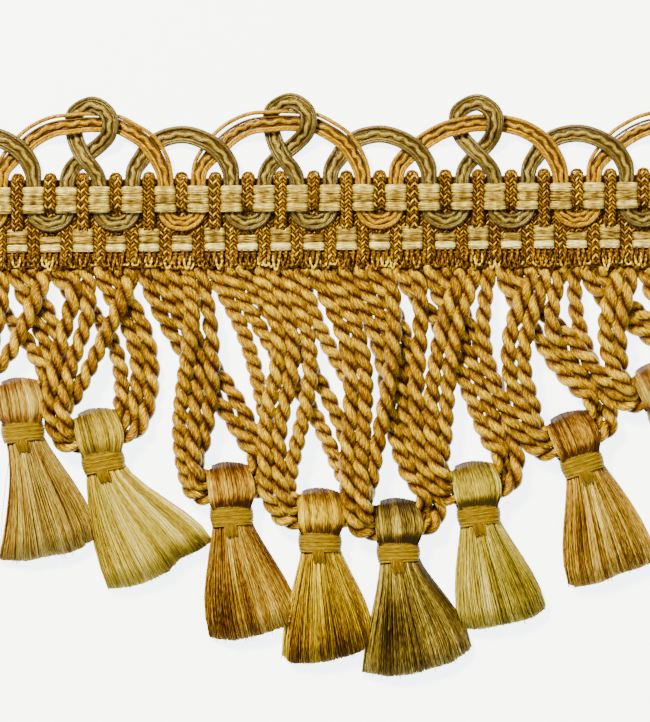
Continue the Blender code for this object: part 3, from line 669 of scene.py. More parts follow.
# Scroll gimp: one smooth cord at the outer edge, two at the inner one, a crimped yarn between
# them, and dark yarns in the gaps. The band opens out where the gold arches run free.
GIMP_SURFACE = (0.34, 5.0, 0.4, 0.6)       # roughness, streaks, bump and gloss
GOLD_SMOOTH = yarn_look(
    "gold_gimp_cord", ((0.025, 0.006, 0.0001), (0.12, 0.042, 0.0004), (0.30, 0.158, 0.002),
    (0.62, 0.36, 0.004), (0.92, 0.70, 0.05)), *GIMP_SURFACE, GOLD_SHINE, 1.5)
GOLD_CRIMP = yarn_look(
    "gold_gimp_crimp", ((0.025, 0.006, 0.0001), (0.14, 0.05, 0.0005), (0.33, 0.178, 0.003),
    (0.64, 0.40, 0.01), (0.92, 0.74, 0.10)), *GIMP_SURFACE, GOLD_SHINE, 1.4)
GIMP_CORE = yarn_look(
    "gimp_core_thread", ((0.010, 0.003, 0.0002), (0.04, 0.014, 0.0006), (0.11, 0.042, 0.0015),
    (0.26, 0.13, 0.008)), 0.45, 5.0, 0.3)
OLIVE_SMOOTH = yarn_look(
    "olive_gimp_cord", ((0.012, 0.006, 0.0008), (0.045, 0.028, 0.005), (0.11, 0.078, 0.018),
    (0.26, 0.20, 0.055), (0.60, 0.50, 0.19)), *GIMP_SURFACE, CREAM_SHINE, 1.5)
OLIVE_CRIMP = yarn_look(
    "olive_gimp_crimp", ((0.025, 0.013, 0.001), (0.11, 0.072, 0.009), (0.28, 0.21, 0.036),
    (0.56, 0.46, 0.12), (0.88, 0.82, 0.40)), *GIMP_SURFACE, CREAM_SHINE, 1.4)
# A yarn whose core is laid one millimetre below it gets a painted highlight on its top and painted
# shade on its underside
UP = np.array([0.0, 0.0, 1.0])         # a millimetre up; a yarn's core is laid this far below it

BAND_STEP = 0.5
SMOOTHING_ROUNDS = 6
# A band's smooth cords: place from its middle as a share of its half width, share of the
# opening that they take up, rise, wander, its phase, radius, and change of tone
SMOOTH_CORDS = ((0.76, 1.0, 0.0, 0.05, 0.0, 0.44, 0.0), (-0.80, -0.2, 0.0, 0.04, 2.0, 0.40, -0.02),
                (-0.51, -0.2, -0.04, 0.06, 1.0, 0.25, 0.14))
# Its dark core threads: place, share of the opening, and radius
CORE_THREADS = ((0.46, 0.35, 0.27), (0.30, 0.0, 0.30), (0.05, 0.0, 0.34), (-0.20, 0.0, 0.30),
                (-0.36, 0.0, 0.27))
# The thin threads beside its crimped yarn: shift, depth below it, and change of tone
THIN_THREADS = ((0.40, -0.16, -0.30), (-0.36, -0.10, -0.14), (0.26, 0.24, -0.34))
CRIMP_PLACE = 0.08
CRIMP_SWING = 0.22
CRIMP_LONG = 3.1
CRIMP_RISE = 0.12
CRIMP_HEAVE = 0.10
OPENS_ABOVE = 18.5            # millimetres above the root line, where a band starts to open out
OPENS_OVER = 6.0              # millimetres further up, where it does so in full
WANDER_POINTS = 9.6


def band_frame(parts, first_column):
    """The band's middle line, its sideways direction, and how wide it is at each point."""
    path = gimp_path(parts, first_column, BAND_STEP)
    middle = path[:, :3].copy()
    for _ in range(SMOOTHING_ROUNDS):
        middle[1:-1, 2] = 0.5 * middle[1:-1, 2] + 0.25 * (middle[:-2, 2] + middle[2:, 2])
    _, out, up = directions(middle)
    return middle, out, up, path[:, 3]


def crimp(middle, out, up, where, swing):
    """A yarn that wavers up and down and from side to side, as if it was steamed in kinks."""
    run = run_along(middle)
    phase = 2 * math.pi * run / CRIMP_LONG + 1.3 * np.sin(run / 4.3) + 0.7 * np.sin(run / 1.9)
    wave = np.sin(phase) + 0.25 * np.sin(3 * phase + 1)
    lift = np.cos(phase)
    high = CRIMP_RISE + CRIMP_HEAVE * lift
    return middle + (where + swing * wave)[:, None] * out + high[:, None] * up


def make_scroll(name, parts, first_column, node, smooth_look, crimp_look, opens, tones):
    """A band's smooth cords, its crimped yarn, and the dark and thin threads between them.

    Opens lists, along the trim, how far the outer cord parts from the rest where the band is
    free of the heading. Tones are those of the smooth and the crimped yarns.
    """
    middle, out, up, half = band_frame(parts, first_column)
    free = np.clip((-middle[:, 1] - OPENS_ABOVE) / OPENS_OVER, 0, 1)
    free = free * np.interp(middle[:, 0], [row[0] for row in opens], [row[1] for row in opens])
    count = np.arange(len(middle))

    def beside(share, parting, raised, wander, phase):
        where = half * (share + parting * free) + wander * np.sin(count / WANDER_POINTS + phase)
        return middle + where[:, None] * out + raised * up

    smooth_tone, crimp_tone = tones
    smooth = Strands()
    for share, parting, raised, wander, phase, radius, change in SMOOTH_CORDS:
        path = beside(share, parting, raised, wander, phase)
        # painted highlight on the cord's top and painted shade on its underside
        smooth.add(path, radius, 7, smooth_tone + change, slant=2.4, core=path - UP, groove=0.4)
    smooth.build(name, smooth_look, [node])
    core = Strands()
    for share, parting, radius in CORE_THREADS:
        path = beside(share, parting, -0.26, 0.05, 3 * share)[::2]
        core.add(path, radius, 4, 0.40, slant=0.5)
    core.build(name + "_core", GIMP_CORE, [node])
    crimped = Strands()
    wavy = crimp(middle, out, up, half * CRIMP_PLACE, CRIMP_SWING)
    # painted highlight on the crimped yarn's top and painted shade on its underside
    crimped.add(wavy, 0.44, 8, crimp_tone, slant=2.0, flat=0.85, core=wavy - UP, groove=0.42)
    for shift, depth, tone in THIN_THREADS:
        beside_it = crimp(middle - depth * UP, out, up, half * CRIMP_PLACE + shift, CRIMP_SWING)
        crimped.add(beside_it, 0.19, 4, crimp_tone + tone, flat=0.85)
    crimped.build(name + "_crimp", crimp_look, [node])


GOLD_OPENS = ((-75, 0.55), (-50, 0.30), (-38, 0.12), (-26, 0.62), (-8, 0.40), (2, 0.25),
              (10, 0.0), (46, 0.0), (58, 0.62), (72, 0.62))
OLIVE_OPENS = ((-75, 0.04), (72, 0.04))
make_scroll("gold_scroll", GOLD_PARTS, -2, "scroll_gold", GOLD_SMOOTH, GOLD_CRIMP,
            GOLD_OPENS, (0.46, 0.50))
make_scroll("olive_scroll", OLIVE_PARTS, 0, "scroll_olive", OLIVE_SMOOTH, OLIVE_CRIMP,
            OLIVE_OPENS, (0.36, 0.42))


# Woven heading: fat satin wefts in bricks, thin twisted warp cords between them, a woven
# ground below, scallops along the top edge and a chain of loops along the bottom edge
SATIN = yarn_look(
    "ivory_satin_weft", ((0.045, 0.020, 0.001), (0.18, 0.11, 0.010), (0.40, 0.29, 0.050),
    (0.68, 0.57, 0.19), (0.96, 0.92, 0.58)), 0.28, 4.0, 0.4, 0.6, CREAM_SHINE, 1.8)
WARP = yarn_look(
    "gold_warp", ((0.016, 0.005, 0.0001), (0.08, 0.028, 0.0003), (0.26, 0.122, 0.001),
    (0.60, 0.38, 0.006), (0.95, 0.82, 0.20)), 0.34, 6.0, 0.4, 0.35, GOLD_SHINE, 1.6)
GROUND = yarn_look(
    "woven_ground", ((0.018, 0.005, 0.0001), (0.08, 0.03, 0.0004), (0.22, 0.10, 0.001),
    (0.42, 0.24, 0.008)), 0.45, 6.0, 0.4, 0.4)

FLOAT_YARNS = 5
DIP_FROM = 0.74               # share of a float's half length from which its ends dip
DIP_LONG = 0.26
DIP_DEEP = 0.95
# painted shade on a float's ends where they dip under the warp
DIP_PAINTED_SHADE = 0.26
FLOAT_POINTS = 11
FLOAT_RADIUS = 0.25
FLOAT_PINCH = 0.22            # how much narrower a float is at its ends
FLOAT_CROWN = 0.26
MIDDLE_WIDE = 0.42            # size of its middle tone, as a share of its half length
GLINT_TONE, GLINT_WIDE = 0.14, 0.14


def satin_float(strands, centre, half, drop, wide, high, tone, middle_tone):
    """One fat weft of fine yarns side by side, which dips under the warp at both ends."""
    t = np.linspace(-1, 1, FLOAT_POINTS)
    ends = np.clip((np.abs(t) - DIP_FROM) / DIP_LONG, 0, 1)
    glint = SHAKE.uniform(-0.6, 0.6, 2)
    for n in range(FLOAT_YARNS):
        u = (n - (FLOAT_YARNS - 1) / 2) / ((FLOAT_YARNS - 1) / 2)
        spread = 1 - FLOAT_PINCH * ends
        rise = high + FLOAT_CROWN * (1 - u * u) - DIP_DEEP * ends ** 2 + wobble(0.05)
        across = centre + t * (half + wobble(0.08))
        sway = wobble(0.05) * np.sin(2 * t + n)
        path = np.stack([across, drop + u * wide * spread + sway, rise], axis=1)
        midway = np.exp(-(t / MIDDLE_WIDE) ** 2)
        shade = tone + wobble(0.10) + (middle_tone - tone) * midway
        for spot in glint:
            glow = np.exp(-((t - spot - wobble(0.1)) / GLINT_WIDE) ** 2)
            shade = shade + GLINT_TONE * glow
        # painted shade on the dipping ends; the core below paints the top lighter and the underside
        # darker
        strands.add(path, FLOAT_RADIUS, 5, shade - DIP_PAINTED_SHADE * ends, flat=0.85,
                    core=path - UP, groove=0.2)


PAIR_STEP = 0.30
PAIR_TONES = (0.16, -0.16)


def twisted_pair(strands, path, radius, turn_length, tone, hand=1):
    """Two plies wound round each other, the first of them paler."""
    fine = smooth_path(path, PAIR_STEP)
    start = SHAKE.uniform(0, 6)
    for ply, change in enumerate(PAIR_TONES):
        winding = helix(fine, turn_length, radius * 0.95, start + ply * math.pi, hand=hand)
        # painted shade where the plies face each other and a painted highlight where they face out
        strands.add(winding, radius, 4, tone + change + wobble(0.14), core=fine, groove=0.5)


# The rows of yarn in a brick: number down it, tone at the ends and tone midway
UPPER_ROWS = ((0, 0.72, 0.54), (1, 0.52, 0.24), (2, 0.62, 0.46))
LOWER_ROWS = ((0, 0.56, 0.36), (1, 0.46, 0.26), (2, 0.84, 0.72))
UPPER_HALF_LONG, UPPER_HIGH = 2.22, 3.15
LOWER_HALF_LONG, LOWER_HIGH = 2.12, 2.15
ROW_SPREAD = 0.36             # how far a row's fine yarns reach to each side, as a share of it


def make_bricks():
    """Both rows of bricks. A lower brick on a column that carries a U has one row less."""
    satin = Strands()
    for rows, numbers, first, (top, low), half, high in (
            (UPPER_ROWS, BRICK_NUMBERS, BRICK_FIRST, UPPER_DROP, UPPER_HALF_LONG, UPPER_HIGH),
            (LOWER_ROWS, COLUMN_NUMBERS[1:-1], None, LOWER_DROP, LOWER_HALF_LONG, LOWER_HIGH)):
        yarn = (low - top) / len(rows)
        for k in numbers:
            centre = column_across(k) if first is None else first + k * BRICK_PITCH
            for n, tone, middle_tone in rows:
                if first is None and n == 0 and carries_u(k):
                    continue
                drop = top + (n + 0.5) * yarn
                shift = wobble(0.08)
                drift = wobble(0.08)
                satin_float(satin, centre + drift, half, drop, ROW_SPREAD * yarn, high,
                            tone + shift, middle_tone + shift)
    satin.build("satin_bricks", SATIN, ["heading_braid"])


COLUMN_CORD_PITCH = 0.72
SPACE_CORD_PITCH = 0.74
END_GAP = 0.3                 # how far inside the cut ends the outermost cords run
WARP_RADIUS = 0.24
WARP_TURN = 1.6               # length of cord to one turn of its plies
OVERCAST_IN = 0.35
OVERCAST_HIGH = (0.75, 1.35, 1.95)


def make_warp():
    """Twisted cords that run down the columns and down the spaces between the lower bricks.

    Their knots count across, drop and height, in millimetres.
    """
    warp = Strands()
    for k in COLUMN_NUMBERS:
        centre = column_across(k)
        for n in (-1, 0, 1):
            x = centre + n * COLUMN_CORD_PITCH
            if not LEFT_END + END_GAP < x < RIGHT_END - END_GAP:
                continue
            hand = 1 - 2 * (n % 2)
            low = -10.7 if carries_u(k) else -6.6
            top = HEAD_TOP_DROP - 0.3 - (0.4 if n == 0 else 0)
            path = [(x, top + 0.5, 0.9), (x, top, 1.6), (x, top + 0.5, 2.3), (x, -15.6, 2.7),
                    (x, -12.9, 2.8), (x, low - 0.8, 2.6), (x, low, 1.5)]
            twisted_pair(warp, path, WARP_RADIUS, WARP_TURN, 0.50, hand)
            if carries_u(k):
                under = [(x, -10.8, 1.1), (x, -9, 1.25), (x, -6, 1.3)]
                twisted_pair(warp, under, 0.22, 1.4, 0.42, hand)
        for n in range(-2, 3):
            x = centre + BRICK_PITCH / 2 + n * SPACE_CORD_PITCH
            if not LEFT_END + END_GAP < x < RIGHT_END - END_GAP:
                continue
            side = abs(n) > 1
            low = -2.6 if side else -0.4
            path = [(x, -10.4, 1.2), (x, -8, 1.3), (x, -3.4, 1.45 if side else 1.9),
                    (x, low - 0.8, 1.6 if side else 2.95), (x, low, 1.3 if side else 2.6)]
            twisted_pair(warp, path, WARP_RADIUS, WARP_TURN, 0.38 if side else 0.48,
                         1 - 2 * (n % 2))
    for x in (LEFT_END + OVERCAST_IN, RIGHT_END - OVERCAST_IN):
        for z in OVERCAST_HIGH:
            overcast = [(x, HEAD_TOP_DROP + 0.3, z), (x, -10, z), (x, -1.6, z)]
            twisted_pair(warp, overcast, 0.3, 1.7, 0.48)
    warp.build("warp_cords", WARP, ["heading_braid"])


BEAD_STEP = 0.2
BEAD_LONG = 0.86


def beaded(strands, path, radius, tone):
    """A tightly spun yarn, swollen at every turn of its twist, with a painted highlight on each
    swell and painted shade between.
    """
    fine = smooth_path(path, BEAD_STEP)
    swell = np.sin(2 * math.pi * run_along(fine) / BEAD_LONG + SHAKE.uniform(0, 6))
    # painted highlight on each swell and painted shade between; the core below paints the top
    # lighter
    strands.add(fine, radius * (1 + 0.16 * swell), 5, tone + 0.13 * swell, slant=2.5,
                core=fine - UP, groove=0.4)


def loop_knots(x, half, side, middle):
    """A loop round x: its left side's knots (share of half, drop, z), its middle, its right."""
    return ([(x - share * half, drop, z) for share, drop, z in side] + [(x, *middle)]
            + [(x + share * half, drop, z) for share, drop, z in side[::-1]])


SCALLOPS = ((1.15, 1.05, 0.24), (0.66, 0.62, 0.46))     # half width, rise and tone
CURLS, CURL_PITCH = 7, 0.93   # to a column
CURL_TONES = (0.14, 0.26, 0.38, 0.50, 0.84)
TUFTS, TUFT_PITCH = 5, 1.2    # to a column
EDGE_RADIUS, CURL_RADIUS = 0.30, 0.25


def make_edges():
    """Round scallops along the top edge, and yarn curls hanging along the bottom one."""
    loops = Strands()
    for k in COLUMN_NUMBERS[1:-1]:
        for half, rise, tone in SCALLOPS:
            x = column_across(k) + wobble(0.12)
            rise = rise + wobble(0.12)
            side = ((0.9, HEAD_TOP_DROP + 1.2, 1.5), (1, HEAD_TOP_DROP + 0.2, 1.9),
                    (0.66, HEAD_TOP_DROP - 0.75 * rise, 2.0))
            path = loop_knots(x, half, side, (HEAD_TOP_DROP - rise, 2.05))
            beaded(loops, path, EDGE_RADIUS, tone + wobble(0.1))
    for k in COLUMN_NUMBERS[1:-1]:
        for n in range(CURLS):
            x = column_across(k) + (n - CURLS // 2) * CURL_PITCH + wobble(0.2)
            between = abs(n - CURLS // 2) > 1
            reach = SHAKE.uniform(0.2, 1.3) - (0.25 if between else 0)
            half = SHAKE.uniform(0.5, 0.7)
            tone = CURL_TONES[SHAKE.integers(0, 5)]
            high = 2.5 if between else 3.05
            side = ((1, -1.6, high - 0.9), (1.1, -0.9, high), (0.8, 0, high + 0.3))
            beaded(loops, loop_knots(x, half, side, (reach, high + 0.2)), CURL_RADIUS, tone)
        for n in range(TUFTS):
            x = column_across(k) + (n - TUFTS // 2) * TUFT_PITCH + wobble(0.2)
            path = [(x, -2.7, 2.0), (x + 0.1, -1.9, 3.0), (x - 0.1, -1.0, 3.2), (x, -0.5, 2.8)]
            beaded(loops, path, EDGE_RADIUS, 0.26 + SHAKE.uniform(-0.14, 0.24))
    loops.build("edge_loops", WARP, ["heading_braid", "bullion_fringe"])


# Wefts of the ground, of the strip, and of a dark band below the strip that stands for painted
# shade under the cord roots: how many, first drop, pitch, spacing of the points,
# height, fall from weft to weft, waver, its length and shape, radius, tone, flatness
WEFTS = (
    (31, HEAD_TOP_DROP + 0.35, 0.48, 0.82, 0.62, 0, 0.16, 1.64, np.cos, 0.36, 0.72, 1.4),
    # dark wefts below the strip, under the cord roots, as painted shade
    (4, STRIP_DROP[1] + 0.3, 0.34, 0.6, 1.3, 0.2, 0.15, 1.3, np.sin, 0.26, 0.4, 1.5),
    (7, STRIP_DROP[0] + 0.1, 0.42, 0.6, 1.25, 0, 0.2, 1.64, np.sin, 0.34, 0.66, 2.6),
)


def make_ground():
    """The woven ground, the strip and a band of dark wefts under the cord roots as painted shade:
    fine wefts side by side, as wide as the heading.
    """
    ground = Strands()
    for count, first, pitch, step, high, fall, waver, long, wave, radius, tone, flat in WEFTS:
        x = np.arange(LEFT_END, RIGHT_END + 0.1, step)
        for n in range(count):
            z = high - fall * n + waver * wave(2 * math.pi * x / long + math.pi * n)
            path = np.column_stack([x, np.full(len(x), first + n * pitch), z])
            ground.add(path, radius, 4, tone, flat=flat)
    ground.build("woven_ground", GROUND, ["heading_braid", "bullion_fringe"])


make_bricks()
make_warp()
make_edges()
make_ground()


# Tassels. Each hangs on the cords that run through its eye: yarns folded over the cords make
# the head, a wound thread binds the neck, and the cut ends spread out as the skirt.
# Every colour list runs from dark to light.
CREAM_TAN = ((0.060, 0.022, 0.003), (0.20, 0.095, 0.012), (0.36, 0.262, 0.045),
             (0.60, 0.46, 0.13), (0.86, 0.78, 0.42))
PALE_YELLOW = ((0.070, 0.040, 0.003), (0.23, 0.155, 0.010), (0.44, 0.335, 0.028),
               (0.66, 0.56, 0.11), (0.88, 0.84, 0.50))
RUST_TAN = ((0.022, 0.008, 0.001), (0.11, 0.038, 0.003), (0.305, 0.168, 0.016),
            (0.58, 0.39, 0.05), (0.88, 0.76, 0.30))
RICH_GOLD = ((0.026, 0.009, 0.0003), (0.13, 0.056, 0.0008), (0.35, 0.215, 0.002),
             (0.68, 0.50, 0.006), (0.92, 0.74, 0.08))
DARK_OLIVE = ((0.016, 0.009, 0.0012), (0.060, 0.034, 0.004), (0.18, 0.122, 0.013),
              (0.42, 0.32, 0.055), (0.82, 0.73, 0.38))
YELLOW_OLIVE = ((0.028, 0.018, 0.001), (0.12, 0.080, 0.005), (0.31, 0.245, 0.016),
                (0.58, 0.48, 0.075), (0.88, 0.84, 0.48))
BINDING_LOOK = yarn_look(
    "gold_binding", ((0.040, 0.016, 0.0002), (0.14, 0.074, 0.0008), (0.24, 0.168, 0.004),
    (0.42, 0.325, 0.006), (0.74, 0.54, 0.03)), 0.42, 5.0, 0.2, 0.2, GOLD_SHINE, 1.1)
# Each tassel's colours, material slot, shine and contrast
TASSEL_LOOKS = (
    (CREAM_TAN, "tassel_cream", CREAM_SHINE, 1.2),
    (PALE_YELLOW, "tassel_pale", CREAM_SHINE, 1.2),
    (RUST_TAN, "tassel_rust", GOLD_SHINE, 1.45),
    (RICH_GOLD, "tassel_gold", GOLD_SHINE, 1.45),
    (DARK_OLIVE, "tassel_olive", CREAM_SHINE, 1.45),
    (YELLOW_OLIVE, "tassel_pale", CREAM_SHINE, 1.2),
    (RUST_TAN, "tassel_rust", GOLD_SHINE, 1.45),
    (CREAM_TAN, "tassel_cream", CREAM_SHINE, 1.2),
)

# Where a tassel's yarns turn darker or paler: share across the skirt from the left,
# share down it, the spot's size in both, and the change of tone
SPOTS = (
    ((0.5, 0.2, 0.2, 0.3, 0.1), (0.2, 0.8, 0.2, 0.25, -0.06), (0.85, 0.7, 0.12, 0.3, -0.16)),
    ((0.62, 0.4, 0.12, 0.35, 0.22), (0.3, 0.55, 0.14, 0.35, 0.06), (0.05, 0.6, 0.1, 0.4, -0.2),
     (0.8, 1, 0.25, 0.06, -0.3)),
    ((0.22, 0.78, 0.13, 0.16, -0.36), (0.45, 0.3, 0.1, 0.35, 0.24), (0.95, 0.45, 0.1, 0.35, -0.3),
     (0.6, 0.6, 0.1, 0.5, 0.1), (0.12, 0.15, 0.12, 0.3, -0.1)),
    ((0.45, 0.25, 0.3, 0.3, 0.12), (0.55, 0.95, 0.45, 0.18, -0.3), (0.95, 0.55, 0.1, 0.4, -0.26),
     (0.04, 0.95, 0.06, 0.16, 0.4), (0.15, 0.75, 0.12, 0.25, -0.16)),
    ((0.3, 0.66, 0.18, 0.24, -0.36), (0.3, 0.18, 0.1, 0.2, 0.26), (0.95, 0.45, 0.09, 0.4, -0.36),
     (0.6, 0.55, 0.14, 0.4, 0.1), (0.12, 0.95, 0.1, 0.1, 0.1)),
    ((0.12, 0.5, 0.12, 0.5, 0.26), (0.38, 0.65, 0.08, 0.3, 0.2), (0.7, 0.68, 0.13, 0.22, -0.3),
     (0.55, 0.2, 0.15, 0.25, 0.12), (0.9, 0.9, 0.15, 0.2, -0.14)),
    ((0.25, 0.6, 0.12, 0.35, -0.22), (0.5, 0.3, 0.1, 0.3, 0.2), (0.8, 0.55, 0.12, 0.3, 0.14),
     (0.6, 0.85, 0.12, 0.2, -0.14)),
    ((0.5, 0.4, 0.14, 0.3, 0.14), (0.2, 0.6, 0.12, 0.35, -0.14)),
)
# Each head's own tone with painted light: painted shade at its top, a painted highlight at the
# middle of its front and painted shade just above its binding
HEAD_TONES_AND_PAINTED_LIGHT = ((0.24, 0.58, 0.20), (0.20, 0.50, 0.22), (0.12, 0.56, -0.04), (0.14, 0.64, 0.04),
              (0.04, 0.60, -0.10), (0.22, 0.64, -0.12), (0.14, 0.50, 0.06), (0.24, 0.56, 0.20))

# Each skirt's cut edge from left to right, as places in the photo's plane in pixels, and how
# far its left and right sides bulge out on the way down, in millimetres
SKIRT_EDGE = (
    ((0, 560), (27, 561), (50, 556), (70, 553), (82, 548), (92, 541), (100, 537)),
    ((109, 589), (130, 587), (145, 583), (170, 571), (180, 559), (200, 550), (213, 541)),
    ((210, 637), (218, 639), (235, 640), (262, 634), (280, 628), (293, 624), (298, 612)),
    ((282, 655), (291, 663), (310, 663), (328, 661), (350, 655), (366, 649), (372, 630)),
    ((362, 672), (388, 676), (412, 674), (430, 668), (450, 663), (469, 650), (471, 646)),
    ((460, 629), (478, 629), (495, 626), (523, 620), (533, 617), (544, 609), (545, 604)),
    ((568, 584), (575, 587), (598, 583), (620, 573), (635, 569), (650, 563), (655, 556)),
    ((662, 542), (672, 541), (688, 537), (704, 530), (716, 524), (728, 517), (736, 508)),
)
SKIRT_BULGE = ((-1.5, 2.5), (2.2, 3.2), (2.6, 2.0), (1.5, 2.2), (0.6, 3.0), (2.0, 2.0),
               (2.4, 2.4), (1.5, 2.0))
PIXELS_PER_MM = 5
ORIGIN_PIXEL = (325, 265)     # where across and drop are 0


def from_pixel(points):
    """Places in the photo's plane, in pixels, as across and drop."""
    return (np.asarray(points, dtype=float) - ORIGIN_PIXEL) / PIXELS_PER_MM


def along_edge(edge, share):
    """The point at a share, 0 to 1, of an edge's length."""
    steps = np.linalg.norm(np.diff(edge, axis=0), axis=1)
    run = np.concatenate([[0], np.cumsum(steps)]) / steps.sum()
    return np.array([np.interp(share, run, edge[:, 0]), np.interp(share, run, edge[:, 1])])


def bezier(points, count):
    """A smooth curve that starts at the first point, ends at the last and leans on the rest."""
    t = np.linspace(0, 1, count)[:, None]
    a, b, c, d = [np.asarray(p, dtype=float) for p in points]
    return (1 - t) ** 3 * a + 3 * t * (1 - t) ** 2 * b + 3 * t * t * (1 - t) * c + t ** 3 * d


# A head's half width at places along it from the neck, up being negative
HEAD_WIDE = ((-11.0, 3.9), (-9.2, 4.35), (-7.0, 4.7), (-4.2, 4.7), (-1.8, 4.0), (-0.2, 3.3))
# A head's yarns, up the back and down the front: place along the head, height as a share of
# its depth, how much of the bow it takes up, and 1 where it is at the front
HEAD_STOPS = ((-0.2, -0.72, 0, 0), (-2.4, -0.95, 0, 0), (-6.0, -1.08, 0, 0), (-9.0, -0.86, 0, 0),
              (-9.9, -0.15, 0.5, 0), (-9.8, 0.5, 0.5, 1), (-8.2, 0.98, 0, 1), (-6.0, 1.14, 0, 1),
              (-3.9, 1.10, 0, 1), (-2.0, 0.88, 0, 1), (-0.2, 0.66, 0, 1))
HEAD_LAYERS = ((27, 0.24), (26, 0.26), (16, 0.42))      # yarns and their radius
HEAD_MIDDLE_Z = 3.05
HEAD_STEP = 1.3
HEAD_CLUMPS = 14
HEAD_DEEP = 2.72              # about half a head's depth at its middle
LAYER_DEEP = 0.34             # how much less it is for each layer further in
HEAD_LOWEST = 0.45
HEAD_TONE_PLACES = (-11.0, -9.4, -6.2, -4.0, -2.3, -1.0)
# Yarns low at the back of a head get painted shade
BACK_BELOW, BACK_PAINTED_SHADE = 2.6, 0.2     # yarns lower than this are darker


def head_yarns(strands, row, number):
    """Satin yarns folded over the cords: up the back, over the top and down the front."""
    neck, down, wide = tassel_axes(row)
    places = np.array(HEAD_WIDE)
    top_tone_and_shade, front_tone_and_highlight, low_tone_and_shade = HEAD_TONES_AND_PAINTED_LIGHT[number]
    clump = SHAKE.normal(0, 0.15, HEAD_CLUMPS)
    for layer, (count, radius) in enumerate(HEAD_LAYERS):
        for n in range(count):
            u = 2 * (n + 0.5) / count - 1
            u = float(np.clip(u + SHAKE.normal(0, 0.012), -1, 1))
            deep = (HEAD_DEEP - LAYER_DEEP * layer) * math.sqrt(max(0.12, 1 - 0.62 * u * u))
            slip = 0.12 * SHAKE.normal()
            bow = 1.0 - 1.3 * u * u
            knots = []
            for along, depth, bowed, front in HEAD_STOPS:
                along = along - bowed * bow
                side = u * np.interp(along, places[:, 0], places[:, 1]) * (1 - 0.05 * layer)
                sweep = -0.55 * math.sin(math.pi * (along + 0.2) / 9.5) * front
                spot = neck + along * down + (side + sweep + slip * (along + 0.2) * 0.06) * wide
                knots.append((*spot, max(HEAD_LOWEST, HEAD_MIDDLE_Z + depth * deep)))
            path = smooth_path(knots, HEAD_STEP)
            along = (path[:, :2] - neck) @ down
            # painted shade at the top and above the binding, a painted highlight across the front
            shade = np.interp(along, HEAD_TONE_PLACES,
                              (top_tone_and_shade - 0.08, top_tone_and_shade + 0.06, front_tone_and_highlight + 0.05, front_tone_and_highlight,
                               low_tone_and_shade, low_tone_and_shade - 0.10))
            clumped = np.interp((u + 1) * (HEAD_CLUMPS - 1) / 2, np.arange(HEAD_CLUMPS), clump)
            shade = shade + clumped + SHAKE.normal(0, 0.07)
            # painted shade on yarns low at the back and on the inner layers
            shade = np.where(path[:, 2] < BACK_BELOW, shade - BACK_PAINTED_SHADE, shade) - 0.08 * layer
            strands.add(path, radius, 5, shade, side=np.array((*wide, 0)), flat=0.9)


BINDING_TURNS = 17
BINDING_RADIUS = 0.19
BINDING_TOP, BINDING_LONG = -1.95, 3.9
BINDING_HALF_WIDE = 4.12
BINDING_MIDDLE_Z = 2.95
BINDING_HIGH, BINDING_LOW = 2.45, 2.55           # above and below its middle
TAIL_THREADS = 8
TAIL_RADIUS = 0.17
TAIL_STEP = 0.35
TAIL_FIRST, TAIL_PITCH = -1.5, 0.30


def binding_rings(strands, row):
    """A thread wound round the neck, and thread ends hanging below it."""
    neck, down, wide = tassel_axes(row)
    t = np.arange(0, BINDING_TURNS * 2 * math.pi + 0.01, math.pi / 10)
    share = t / t[-1]
    lift = BINDING_TOP + BINDING_LONG * share + 0.10 * np.cos(t) + 0.05 * np.sin(0.45 * t)
    half = BINDING_HALF_WIDE - 0.12 * np.cos(2 * math.pi * share) + 0.05 * np.sin(t * 0.37)
    side = half * np.sign(np.cos(t)) * np.abs(np.cos(t)) ** 0.85
    deep = np.sign(np.sin(t)) * np.abs(np.sin(t)) ** 0.75
    z = BINDING_MIDDLE_Z + np.where(deep > 0, BINDING_HIGH, BINDING_LOW) * deep
    spot = neck + lift[:, None] * down + side[:, None] * wide
    tone = 0.46 + 0.07 * np.sin(t * 1.3) + 0.07 * np.sin(t * 0.31)
    strands.add(np.column_stack([spot, z]), BINDING_RADIUS, 5, tone, slant=0.6)
    for n in range(TAIL_THREADS):
        shift = TAIL_FIRST + TAIL_PITCH * n
        knots = []
        for along, across, z in ((1.2, shift * 0.9 + 0.1, 5.1), (2.3, shift, 5.75),
                                 (3.2, shift + 0.1, 5.7),
                                 (4.2 + 0.15 * math.sin(2.1 * n), shift * 0.9 + 0.25, 5.3)):
            knots.append((*(neck + along * down + across * wide), z))
        strands.add(smooth_path(knots, TAIL_STEP), TAIL_RADIUS, 5, 0.40 + 0.05 * math.sin(n * 2.0))


def spot_tone(number, u, v):
    """How much the tone changes at a place of a skirt."""
    total = 0.0
    for across, along, wide, tall, change in SPOTS[number]:
        total = total + change * np.exp(-((u - across) / wide) ** 2 - ((v - along) / tall) ** 2)
    return total


def roundness(u):
    """How far a round section reaches out at a share, 0 to 1, of the way across it."""
    return math.sqrt(max(0, 1 - (2 * u - 1) ** 2))


THREADS = 660
THICK_THREADS = 150
THREAD_POINTS = 7
THREAD_RADIUS = 0.125
THICK_RADIUS = 0.21
NECK_HALF_WIDE = 3.5
SKIRT_CLUMPS = 20
SKIRT_START = 0.4             # along the tassel
SKIRT_START_Z, SKIRT_START_DEEP = 2.9, 2.25
# Depth midway and at the cut ends: what the round section adds, and what the sides have too
SKIRT_MID_ROUND, SKIRT_MID_FLAT = 3.9, 0.9
SKIRT_END_ROUND, SKIRT_END_FLAT = 2.5, 0.7
SKIRT_LOWEST = 0.2
# Painted shade on the threads just below the binding, and on the threads that lie low inside the
# skirt
NECK_PAINTED_SHADE, NECK_SHADE_SHARE = 0.12, 0.09
INSIDE_PAINTED_SHADE = 0.35
SKIRT_TONE = 0.615
FIRST_SKIRT_TONE = 0.56


